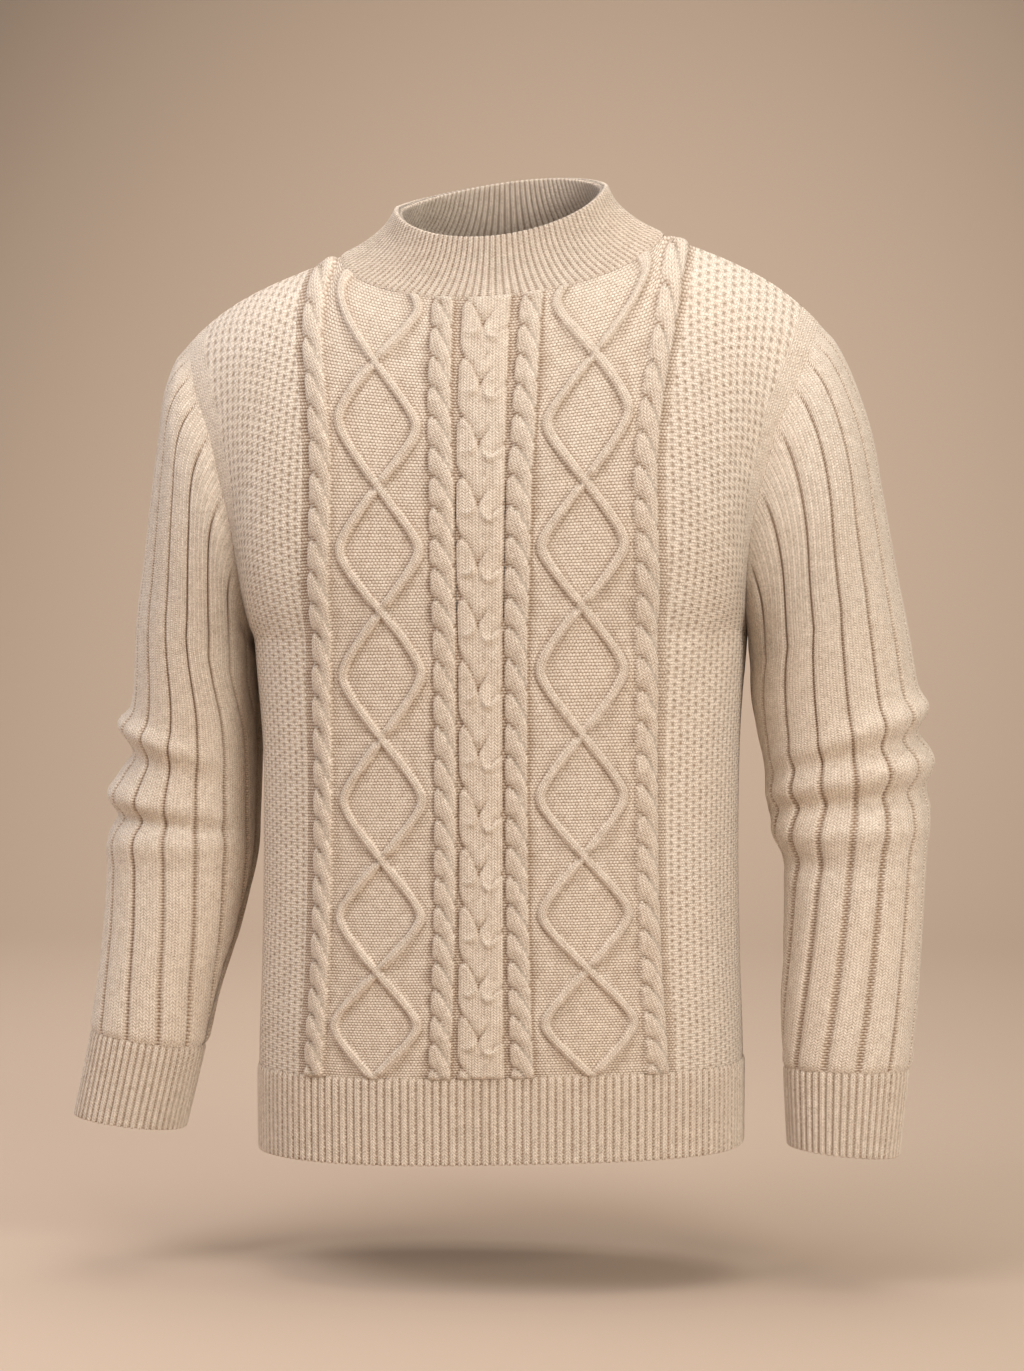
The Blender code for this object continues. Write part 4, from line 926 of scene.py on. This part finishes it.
def make_sleeve(side, sizes, material):
    """A set-in sleeve with wide ribs down it, folds at the elbow and a seam under the arm."""
    sign = 1 if side == "right" else -1
    end = CUFF_START[side]
    metres = rib_metres(float(half_girth(side, BICEP)))
    lengths = np.linspace(0, end, SLEEVE_ROWS)
    half = half_girth(side, np.maximum(lengths, BICEP))[:, None]
    crowded = half - RIB_CROWD * np.arange(len(metres) - 1, -1, -1)
    place = np.minimum(metres[None, :], crowded) / half
    met = np.broadcast_to(metres[None, :], place.shape)
    free = ease(half - met, -0.002, 0.010)
    # near the armhole the ribs lie closer to the sleeve's outer line
    place = place - 0.09 * np.sin(math.pi * place) * np.exp(-(lengths[:, None] / 0.11) ** 2)
    place, met, free = mirrored(place), mirrored(met), mirrored(free, 1)
    along = np.broadcast_to(lengths[:, None], place.shape)

    def form(u, v):
        return sleeve_point(side, u, v)

    normal = sign * outward(form, place, along, 0.004, 0.003, (-2, 2), (0, end))
    turns = np.abs(met) / SLEEVE_RIB_PITCH - 0.5
    off = np.abs(turns - np.round(turns)) * SLEEVE_RIB_PITCH
    # the grooves widen below the elbow, away from the outer line
    wide = ease(along, 0.30, 0.42) * ease(np.abs(place), 0.20, 0.45)
    groove = SLEEVE_GROOVE * (1 + (1.7 if side == "right" else 0.7) * wide)
    rib = sizes.sleeve_rib_high * (1 - np.exp(-(off / groove) ** 3))
    rib = rib + SLEEVE_RIB_BULGE * np.sin(math.pi * off / SLEEVE_RIB_PITCH)
    base = form(place, along)
    from_seam = np.linalg.norm(base - form(place, 0 * along), axis=-1)
    near_end = end - along
    high = rib * free * ease(from_seam, 0.0, 0.020) * ease(near_end, -0.004, 0.006)
    high = high + fold_height(side, place, along)
    high = high + seam_dip(from_seam) + seam_dip(near_end) + seam_dip((1 - np.abs(place)) * half)
    sunken = corners(off - (1.4 - 0.4 * wide) * groove).mean(-1)[..., None] < 0
    kind = np.where(sunken, PURL, KNIT) * np.ones(4)
    # painted shade in the grooves, a little less in the wide ones
    shade = (1 - 0.15 * wide) * np.exp(-(off / (0.80 * groove)) ** 2) * free * ease(from_seam, 0, 0.02)
    cloth = Cloth()
    points = base + normal * high[..., None]
    points[0] = reach_over(points[0], form(place[0], 0 * along[0] + 0.002))
    outer = cloth.skin(points, corners(5 * turns), corners(-along / COURSE), kind, corners(shade),
                       round_closed=True)
    picks = np.linspace(0, len(lengths) - 1, LINING_ROWS).astype(int)
    depth = (CLOTH - fold_height(side, place, along) + 0.0006)[..., None]
    inside = base - normal * depth
    # the sleeve's inside carries a little painted shade
    inner = cloth.skin(inside[picks], met[picks] / WALE, -along[picks] / COURSE, PURL, 0.3,
                       round_closed=True)
    cloth.lips += [outer[0], outer[-1]]
    for line in (0, -1):
        rim = np.stack([outer[line], inner[line]])
        cloth.plain(corners(rim).reshape(-1, 4))
    return cloth.finish("sleeve_" + side, material)


# ---------------------------------------------------------------- ribbed bands
def make_band(name, form, normal, ribs, ways, counts, thick, high, size, inside_ribs, material):
    """A ribbed tube: ways runs from its seam to its rim, and the cloth turns over at the rim.

    counts are the rows of points on its outside and round its rim, and size is the metres to one
    of its ways."""
    columns = 8 if ribs < 150 else 6  # of points on each rib
    place = -1 + 2 * np.arange(ribs * columns + 1) / (ribs * columns)
    outer_ways = np.linspace(ways[0], ways[1], counts[0])
    inner_ways = outer_ways[::-2]
    turn = np.linspace(0, math.pi, counts[1] + 2)[1:-1]
    way = np.concatenate([outer_ways, ways[1] + 0 * turn, inner_ways])
    inset = np.concatenate([0 * outer_ways, (1 - np.cos(turn)) / 2, 1 + 0 * inner_ways])
    over = np.concatenate([0 * outer_ways, np.sin(turn), 0 * inner_ways])
    way, inset, over = (np.append(value, value[0])[:, None] for value in (way, inset, over))
    place = np.broadcast_to(place[None, :], (len(way), len(place)))
    way = np.broadcast_to(way, place.shape)
    off = np.abs(np.mod((place + 1) / 2 * ribs, 1) - 0.5)
    crest = np.sqrt(np.clip(1 - (off / 0.40) ** 2, 0, 1))
    from_seam = np.abs(way - ways[0]) * size
    rib = high * (crest - 0.25 * np.exp(-((off - 0.5) / 0.08) ** 2))
    outside = ease(from_seam, -0.004, 0.003) * ease(1 - inset, 0, 0.5)
    within = ease(inset, 0.5, 1.0) * (0.8 if inside_ribs else 0.3)  # the inside's ribs are lower
    dips = seam_dip(from_seam) * (inset < 0.5)
    push = rib * outside - rib * within - inset * thick + dips
    last = ways[1] + 0 * way
    beyond_rim = unit(form(place, last) - form(place, last - 0.05 * (ways[1] - ways[0])))
    points = form(place, way) + normal(place, way) * push[..., None]
    points = points + beyond_rim * (over * (0.0008 + 0.5 * rib))[..., None]
    points[0] = reach_over(points[0], points[1])
    course = np.where(inset < 0.5, 1, -1) * from_seam / COURSE
    wale = corners((place + 1) / 2 * ribs)
    middle = wale.mean(-1, keepdims=True)
    local = (wale - np.floor(middle) - 0.5) / 0.66
    kind = np.where(np.abs(local.mean(-1, keepdims=True)) < 0.5, KNIT, PURL) * np.ones(4)
    # painted shade in the grooves between the ribs
    shade = 0.85 * ease(off, 0.30, 0.5)
    cloth = Cloth()
    outer = cloth.skin(points, local + 0.5 + np.floor(middle), corners(course), kind, corners(shade),
                       round_closed=True, along_closed=True)
    cloth.lips.append(outer[0])
    return cloth.finish(name, material)


def make_collar(sizes, material):
    """The folded mock-neck collar."""

    def normal(place, way):
        return outward(collar_point, place, way, 0.006, 0.03, (-2, 2), (0, 1))

    return make_band("collar", collar_point, normal, COLLAR_RIBS, (0.0, 1.0), (26, 5),
                     COLLAR_CLOTH, sizes.band_rib_high, 0.055, True, material)


def make_welt(sizes, material):
    """The ribbed welt below the panels."""

    def normal(place, height):
        return outward(body_loop, place, height, 0.002, 0.004, (-2, 2), (WELT_END, UNDERARM))

    return make_band("hem_rib", body_loop, normal, WELT_RIBS, (WELT_TOP, WELT_END), (26, 4),
                     CLOTH, sizes.band_rib_high, 1.0, False, material)


def make_cuff(side, sizes, material):
    """A ribbed cuff."""
    sign = 1 if side == "right" else -1

    def form(place, along):
        return sleeve_point(side, place, along)

    def normal(place, along):
        return sign * outward(form, place, along, 0.004, 0.004, (-2, 2), (0.3, CUFF_END[side]))

    return make_band("cuff_" + side, form, normal, CUFF_RIBS,
                     (CUFF_START[side], CUFF_END[side]), (26, 4), CLOTH, sizes.band_rib_high * 1.1, 1.0,
                     False, material)


# ---------------------------------------------------------------- yarn
NOISES = {"fibre": (850, 3), "mottle": (150, 3), "cloud": (14, 2)}  # grains to a metre and detail
# painted shade of the stitches: for each kind, the range of its tone and its darkest tone, darker where a
# stitch lies low
PAINTED_STITCH_TONES = {"knit": (0.58, 0.21), "purl": (0.62, 0.18), "moss": (0.62, 0.17)}  # range and darkest tone
FIBRE_TONE = 1.0          # how much the fibres change the yarn's tone
MOTTLE_TONE = 0.36        # how much its unevenness does
MOTTLE_HIGH = 0.0003      # how high its unevenness stands
MOTTLE_ROW = 0.35         # how many rows it shifts the stitches up or down
MOTTLE_WALE = 0.7         # and the moss stitch to the sides
MOSS_ROWS = 2.45          # rows of one cluster of moss stitch
WARM_TINT = (1.0, 0.965, 0.92)
YARN_SURFACE = {
    "Roughness": 0.88, "Specular IOR Level": 0.25, "Sheen Weight": 0.22, "Sheen Roughness": 0.45,
}


class Field:
    """A number that a shader works out at each point of the cloth."""

    def __init__(self, tree, socket):
        self.tree = tree
        self.socket = socket

    def do(self, kind, *others):
        """The result of a math node of this kind, whose next inputs are fields or plain numbers."""
        node = self.tree.nodes.new("ShaderNodeMath")
        node.operation = kind
        for socket, value in zip(node.inputs, (self, *others)):
            if isinstance(value, Field):
                self.tree.links.new(value.socket, socket)
            else:
                socket.default_value = value
        return Field(self.tree, node.outputs[0])

    def __add__(self, other):
        return self.do("ADD", other)

    def __sub__(self, other):
        return self.do("SUBTRACT", other)

    def __mul__(self, other):
        return self.do("MULTIPLY", other)

    def __neg__(self):
        return self.do("MULTIPLY", -1)

    def fract(self):
        return self.do("FRACT")

    def sine(self):
        return self.do("SINE")

    def size(self):
        return self.do("ABSOLUTE")

    def power(self, exponent):
        return self.do("MAXIMUM", 0.0).do("POWER", exponent)

    def unit(self):
        """The number, kept between 0 and 1."""
        return self.do("MAXIMUM", 0.0).do("MINIMUM", 1.0)


def mix(first, second, share):
    """first where share is 0, second where it is 1."""
    return first + (second - first) * share


def knit_field(wale, row):
    """Height of plain knit from 0 to 1: a V of two plump legs in each wale."""
    side = (wale.fract() * 2 - 1).size()
    leg = (row - side * 0.9).fract()
    plump = (leg * math.pi).sine().power(0.8)
    gap = (side * math.pi).sine().power(0.6)
    return (plump * 0.55 + 0.45) * (gap * 0.45 + 0.5)


def purl_field(wale, row):
    """Height of purl from 0 to 1: short bars, each row's lying between those of the next."""
    across = (wale * 1.3 + (row.do("FLOOR") * 0.5).fract()).fract() - 0.5
    up = row.fract() - 0.5
    return (across * across * -2.6 + 1 - up * up * 2.6).unit()


def moss_field(wale, row):
    """Height of moss stitch from 0 to 1: clusters with a deep hole between them."""
    column = wale * 0.5
    number = column.do("FLOOR")
    across = column.fract() - 0.5
    up = (row * (1 / MOSS_ROWS) + (number * 0.5).fract()).fract() - 0.5
    hole = (across * across * -42 - up * up * 16).do("EXPONENT")
    hollow = (across * across * -9 - up * up * 6).do("EXPONENT")
    bar = purl_field(wale + 0.25, row)
    return (bar * 0.35 + 0.65) * (hollow * -0.45 + 1.1) * (hole * -0.7 + 1).unit()


def yarn(name, settings):
    """Soft wool yarn, knitted: fine stitches in its bump and as painted shade in its colour, and a little
    fuzz.
    """
    material = bpy.data.materials.new(name)
    material.use_nodes = True
    tree = material.node_tree
    nodes, links = tree.nodes, tree.links
    shader = nodes["Principled BSDF"]
    place = nodes.new("ShaderNodeTexCoord").outputs["Object"]

    def layer(label):
        source = nodes.new("ShaderNodeUVMap")
        source.uv_map = label
        parts = nodes.new("ShaderNodeSeparateXYZ")
        links.new(source.outputs[0], parts.inputs[0])
        return Field(tree, parts.outputs[0]), Field(tree, parts.outputs[1])

    def noise(label):
        scale, detail = NOISES[label]
        node = nodes.new("ShaderNodeTexNoise")
        node.label = label
        node.inputs["Scale"].default_value = scale
        node.inputs["Detail"].default_value = detail
        links.new(place, node.inputs["Vector"])
        return Field(tree, node.outputs["Fac"])

    # tone with painted shade: lighter where a stitch stands high, darker where it lies low
    def tone(height, label):
        span, darkest = PAINTED_STITCH_TONES[label]
        return height * span + darkest

    (wale, row), (kind, shade) = layer("stitch"), layer("kind")
    fibre, mottle, cloud = noise("fibre"), noise("mottle"), noise("cloud")
    row = row + (mottle - 0.5) * MOTTLE_ROW
    knit, purl = knit_field(wale, row), purl_field(wale, row)
    moss = moss_field(wale + (mottle - 0.5) * MOTTLE_WALE, row)
    plain, mossy = kind.unit(), (kind - 1).unit()
    high = mix(mix(knit, purl, plain), moss, mossy)
    metres = high * (mossy * 1.1 + plain * -0.2 + 0.7) * settings.stitch_high
    metres = metres + (fibre - 0.5) * settings.fuzz_high + (mottle - 0.5) * MOTTLE_HIGH
    bump = nodes.new("ShaderNodeBump")
    bump.inputs["Strength"].default_value = 1.0
    bump.inputs["Distance"].default_value = 1.0
    links.new(metres.socket, bump.inputs["Height"])
    links.new(bump.outputs[0], shader.inputs["Normal"])

    # painted shade: the yarn's colour is lighter on the stitches' tops and darker between them and in the
    # hollows, where shade would fall
    face = mix(mix(tone(knit, "knit"), tone(purl, "purl"), plain), tone(moss, "moss"), mossy)
    face = face + (fibre - 0.5) * FIBRE_TONE + (mottle - 0.5) * MOTTLE_TONE
    # the painted shade in grooves and creases is broken into fine lines along the rows
    comb = (row * (2 * math.pi)).sine() * 0.38 + 0.66
    light = face.unit() * (-(shade * comb) + 1).unit()
    colours = nodes.new("ShaderNodeMix")
    colours.data_type = "RGBA"
    links.new(light.socket, colours.inputs["Factor"])
    colours.inputs[6].default_value = (*settings.shade_colour, 1)
    colours.inputs[7].default_value = (*settings.yarn_colour, 1)
    warm = nodes.new("ShaderNodeMix")
    warm.data_type = "RGBA"
    warm.blend_type = "MULTIPLY"
    warm.inputs[7].default_value = (*WARM_TINT, 1)
    links.new(cloud.socket, warm.inputs["Factor"])
    links.new(colours.outputs[2], warm.inputs[6])
    links.new(warm.outputs[2], shader.inputs["Base Color"])
    for socket, value in YARN_SURFACE.items():
        shader.inputs[socket].default_value = value
    return material


# ---------------------------------------------------------------- stage
FLOOR_NEAR, FLOOR_END = -4.5, 2.6  # where the floor starts and where it begins to curve up
CURVE_RADIUS = 2.4
CURVE_STEPS = 24
BACKDROP_SIDE = 7.0
BACKDROP_TOP = 5.0
# painted light: the backdrop darkens away from a light middle, as lamplight falls off: its place
# stretched and shifted, how fast it darkens with the distance and what is left of its colour far away
DIM_STRETCH, DIM_SHIFT = (0.80, 0.0, 0.72), (0.42, 0.0, 0.16)
DIM_RATE = 0.38
DIM_COLOUR = 0.4

TARGET = Vector((0, 0, -0.344))  # what the camera and the lamps look at
WALL = Vector((0, 5.0, 0.5))     # what the lamp on the backdrop looks at
LAMPS = (
    # name, place, size, colour
    ("key", (2.0, -2.2, 0.55), 1.2, (1.0, 0.95, 0.88)),
    ("fill", (-1.5, -1.5, 2.0), 1.6, (0.97, 0.93, 0.98)),
    ("wall", (0.0, 2.0, 3.4), 2.6, (1.0, 0.95, 0.9)),
    ("side", (-2.3, 0.2, 0.2), 1.2, (0.72, 0.82, 1.0)),
    ("top", (0.2, -0.2, 2.3), 2.0, (1.0, 0.95, 0.9)),
)
ROOM_COLOUR = (1.0, 0.90, 0.80)
CAMERA_TURN, CAMERA_RISE = math.radians(7), math.radians(1)
CAMERA_DISTANCE = 2.529
CAMERA_LENS, CAMERA_SENSOR, CAMERA_SHIFT = 85, 36, 0.008


def backdrop_paper(colour):
    """Matt paper with painted light: lightest behind the sweater, darker away from it."""
    material = bpy.data.materials.new("backdrop_paper")
    material.use_nodes = True
    tree = material.node_tree
    shader = tree.nodes["Principled BSDF"]
    shader.inputs["Roughness"].default_value = 0.95
    shader.inputs["Specular IOR Level"].default_value = 0.1
    spot = tree.nodes.new("ShaderNodeTexCoord").outputs["Object"]
    apart = tree.nodes.new("ShaderNodeVectorMath")
    apart.operation = "MULTIPLY_ADD"
    tree.links.new(spot, apart.inputs[0])
    apart.inputs[1].default_value = DIM_STRETCH
    apart.inputs[2].default_value = DIM_SHIFT
    length = tree.nodes.new("ShaderNodeVectorMath")
    length.operation = "LENGTH"
    tree.links.new(apart.outputs[0], length.inputs[0])
    painted_falloff = tree.nodes.new("ShaderNodeMix")
    painted_falloff.data_type = "RGBA"
    # painted light falloff, mixed into the paper's colour
    dim = Field(tree, length.outputs["Value"]).power(2.0) * DIM_RATE
    tree.links.new(dim.unit().socket, painted_falloff.inputs["Factor"])
    painted_falloff.inputs[6].default_value = (*colour, 1)
    painted_falloff.inputs[7].default_value = (*(DIM_COLOUR * value for value in colour), 1)
    tree.links.new(painted_falloff.outputs[2], shader.inputs["Base Color"])
    return material


def make_backdrop(settings):
    """A floor that curves up into a plain backdrop."""
    floor = settings.floor_height
    profile = [(FLOOR_NEAR, floor), (FLOOR_END, floor)]
    for k in range(1, CURVE_STEPS + 1):
        turn = math.pi / 2 * k / CURVE_STEPS
        rise = CURVE_RADIUS * (1 - math.cos(turn))
        profile.append((FLOOR_END + CURVE_RADIUS * math.sin(turn), floor + rise))
    profile.append((FLOOR_END + CURVE_RADIUS, BACKDROP_TOP))
    points = [(x, y, z) for y, z in profile for x in (-BACKDROP_SIDE, BACKDROP_SIDE)]
    faces = [(2 * k, 2 * k + 1, 2 * k + 3, 2 * k + 2) for k in range(len(profile) - 1)]
    mesh = bpy.data.meshes.new("backdrop")
    mesh.from_pydata(points, [], faces)
    mesh.shade_smooth()
    mesh.materials.append(backdrop_paper(settings.backdrop_colour))
    place_in_scene("backdrop", mesh)


def make_lamps(settings):
    """Soft lamps and the light of the room."""
    for name, place, size, colour in LAMPS:
        lamp = bpy.data.lights.new(name + "_light", "AREA")
        lamp.energy = getattr(settings, name + "_power")
        lamp.size = size
        lamp.color = colour
        holder = place_in_scene(name + "_light", lamp)
        holder.location = place
        aim = WALL if name == "wall" else TARGET
        holder.rotation_euler = (Vector(place) - aim).to_track_quat("Z", "Y").to_euler()
    world = bpy.data.worlds.new("studio")
    world.use_nodes = True
    world.node_tree.nodes["Background"].inputs[0].default_value = (*ROOM_COLOUR, 1)
    world.node_tree.nodes["Background"].inputs[1].default_value = settings.room_light
    bpy.context.scene.world = world
    bpy.context.scene.view_settings.view_transform = "Standard"


def make_camera():
    """A camera in front of the sweater, a little to its right and above its middle."""
    level = math.cos(CAMERA_RISE)
    away = Vector((math.sin(CAMERA_TURN) * level, -math.cos(CAMERA_TURN) * level, math.sin(CAMERA_RISE)))
    camera = place_in_scene("camera", bpy.data.cameras.new("camera"))
    camera.location = TARGET + away * CAMERA_DISTANCE
    camera.rotation_euler = away.to_track_quat("Z", "Y").to_euler()
    camera.data.lens = CAMERA_LENS
    camera.data.sensor_fit = "VERTICAL"
    camera.data.sensor_height = CAMERA_SENSOR
    camera.data.shift_x = CAMERA_SHIFT
    bpy.context.scene.camera = camera


# ---------------------------------------------------------------- add-on
class SweaterSizes(bpy.types.PropertyGroup):
    """Sizes of the knitted relief."""

    front_rows: bpy.props.IntProperty(
        name="Front rows", description="Rows of points up the front", default=330)
    plait_high: bpy.props.FloatProperty(
        name="Plait", description="Height of the plait", default=0.0050, unit="LENGTH")
    rope_high: bpy.props.FloatProperty(
        name="Ropes", description="Height of the ropes", default=0.0053, unit="LENGTH")
    ridge_high: bpy.props.FloatProperty(
        name="Lattice", description="Height of the lattice", default=0.0037, unit="LENGTH")
    sleeve_rib_high: bpy.props.FloatProperty(
        name="Sleeve ribs", description="Depth of the grooves between them", default=0.0024, unit="LENGTH")
    band_rib_high: bpy.props.FloatProperty(
        name="Band ribs", description="Height on collar, welt and cuffs", default=0.0014, unit="LENGTH")


class SweaterYarn(bpy.types.PropertyGroup):
    """Colours and fineness of the yarn."""

    yarn_colour: bpy.props.FloatVectorProperty(
        name="Yarn", description="Colour of the yarn", default=(0.975, 0.885, 0.772), subtype="COLOR")
    # colour of the painted shade between stitches and in creases, grooves and hollows
    shade_colour: bpy.props.FloatVectorProperty(
        name="Shade", description="Colour between stitches", default=(0.25, 0.150, 0.080), subtype="COLOR")
    stitch_high: bpy.props.FloatProperty(
        name="Stitch", description="Height of a stitch", default=0.0013, unit="LENGTH")
    fuzz_high: bpy.props.FloatProperty(
        name="Fuzz", description="Height of the fuzz", default=0.0003, unit="LENGTH")


class SweaterStage(bpy.types.PropertyGroup):
    """Floor, backdrop and lights."""

    backdrop_colour: bpy.props.FloatVectorProperty(
        name="Backdrop", description="Colour of the backdrop", default=(0.60, 0.475, 0.375), subtype="COLOR")
    floor_height: bpy.props.FloatProperty(
        name="Floor", description="Height of the floor", default=-0.80, unit="LENGTH")
    key_power: bpy.props.FloatProperty(name="Key", description="Power of the key light", default=56.0)
    fill_power: bpy.props.FloatProperty(name="Fill", description="Power of the fill light", default=36.0)
    top_power: bpy.props.FloatProperty(name="Top", description="Power of the top light", default=34.0)
    wall_power: bpy.props.FloatProperty(name="Wall", description="Power of the wall light", default=75.0)
    side_power: bpy.props.FloatProperty(name="Side", description="Power of the side light", default=7.0)
    room_light: bpy.props.FloatProperty(name="Room", description="Strength of the room", default=0.46)


class SWEATER_OT_panels(bpy.types.Operator):
    """Knit the front and the back"""

    bl_idname = "sweater.panels"
    bl_label = "Front and back"

    def execute(self, context):
        sizes, settings = context.scene.sweater_sizes, context.scene.sweater_yarn
        make_front(sizes, yarn("front_yarn_knit", settings))
        make_back(yarn("back_yarn_knit", settings))
        return {"FINISHED"}


class SWEATER_OT_sleeves(bpy.types.Operator):
    """Knit both sleeves"""

    bl_idname = "sweater.sleeves"
    bl_label = "Sleeves"

    def execute(self, context):
        sizes, settings = context.scene.sweater_sizes, context.scene.sweater_yarn
        for side in ("left", "right"):
            make_sleeve(side, sizes, yarn("sleeve_" + side + "_yarn_knit", settings))
        return {"FINISHED"}


class SWEATER_OT_bands(bpy.types.Operator):
    """Knit the collar, the welt and the cuffs"""

    bl_idname = "sweater.bands"
    bl_label = "Collar, welt and cuffs"

    def execute(self, context):
        sizes, settings = context.scene.sweater_sizes, context.scene.sweater_yarn
        make_collar(sizes, yarn("collar_yarn_knit", settings))
        make_welt(sizes, yarn("hem_yarn_knit", settings))
        for side in ("left", "right"):
            make_cuff(side, sizes, yarn("cuff_" + side + "_yarn_knit", settings))
        return {"FINISHED"}


class SWEATER_OT_stage(bpy.types.Operator):
    """Set up the floor, backdrop, lights and camera"""

    bl_idname = "sweater.stage"
    bl_label = "Stage"

    def execute(self, context):
        settings = context.scene.sweater_stage
        make_backdrop(settings)
        make_lamps(settings)
        make_camera()
        return {"FINISHED"}


class SWEATER_PT_sidebar(bpy.types.Panel):
    """Lists what can be built"""

    bl_idname = "SWEATER_PT_sidebar"
    bl_label = "Sweater"
    bl_space_type = "VIEW_3D"
    bl_region_type = "UI"
    bl_category = "Sweater"

    def draw(self, context):
        for group in ("sweater_sizes", "sweater_yarn", "sweater_stage"):
            settings = getattr(context.scene, group)
            for name in settings.bl_rna.properties.keys():
                if name not in ("rna_type", "name"):
                    self.layout.prop(settings, name)
        for operator in OPERATORS:
            self.layout.operator(operator.bl_idname)


OPERATORS = (SWEATER_OT_panels, SWEATER_OT_sleeves, SWEATER_OT_bands, SWEATER_OT_stage)
GROUPS = {"sweater_sizes": SweaterSizes, "sweater_yarn": SweaterYarn, "sweater_stage": SweaterStage}


def register():
    for item in (*GROUPS.values(), *OPERATORS, SWEATER_PT_sidebar):
        bpy.utils.register_class(item)
    for name, group in GROUPS.items():
        setattr(bpy.types.Scene, name, bpy.props.PointerProperty(type=group))


def unregister():
    for name in GROUPS:
        delattr(bpy.types.Scene, name)
    for item in (SWEATER_PT_sidebar, *OPERATORS, *GROUPS.values()):
        bpy.utils.unregister_class(item)


def main():
    register()
    bpy.ops.sweater.panels()
    bpy.ops.sweater.sleeves()
    bpy.ops.sweater.bands()
    bpy.ops.sweater.stage()


if __name__ == "__main__":
    main()
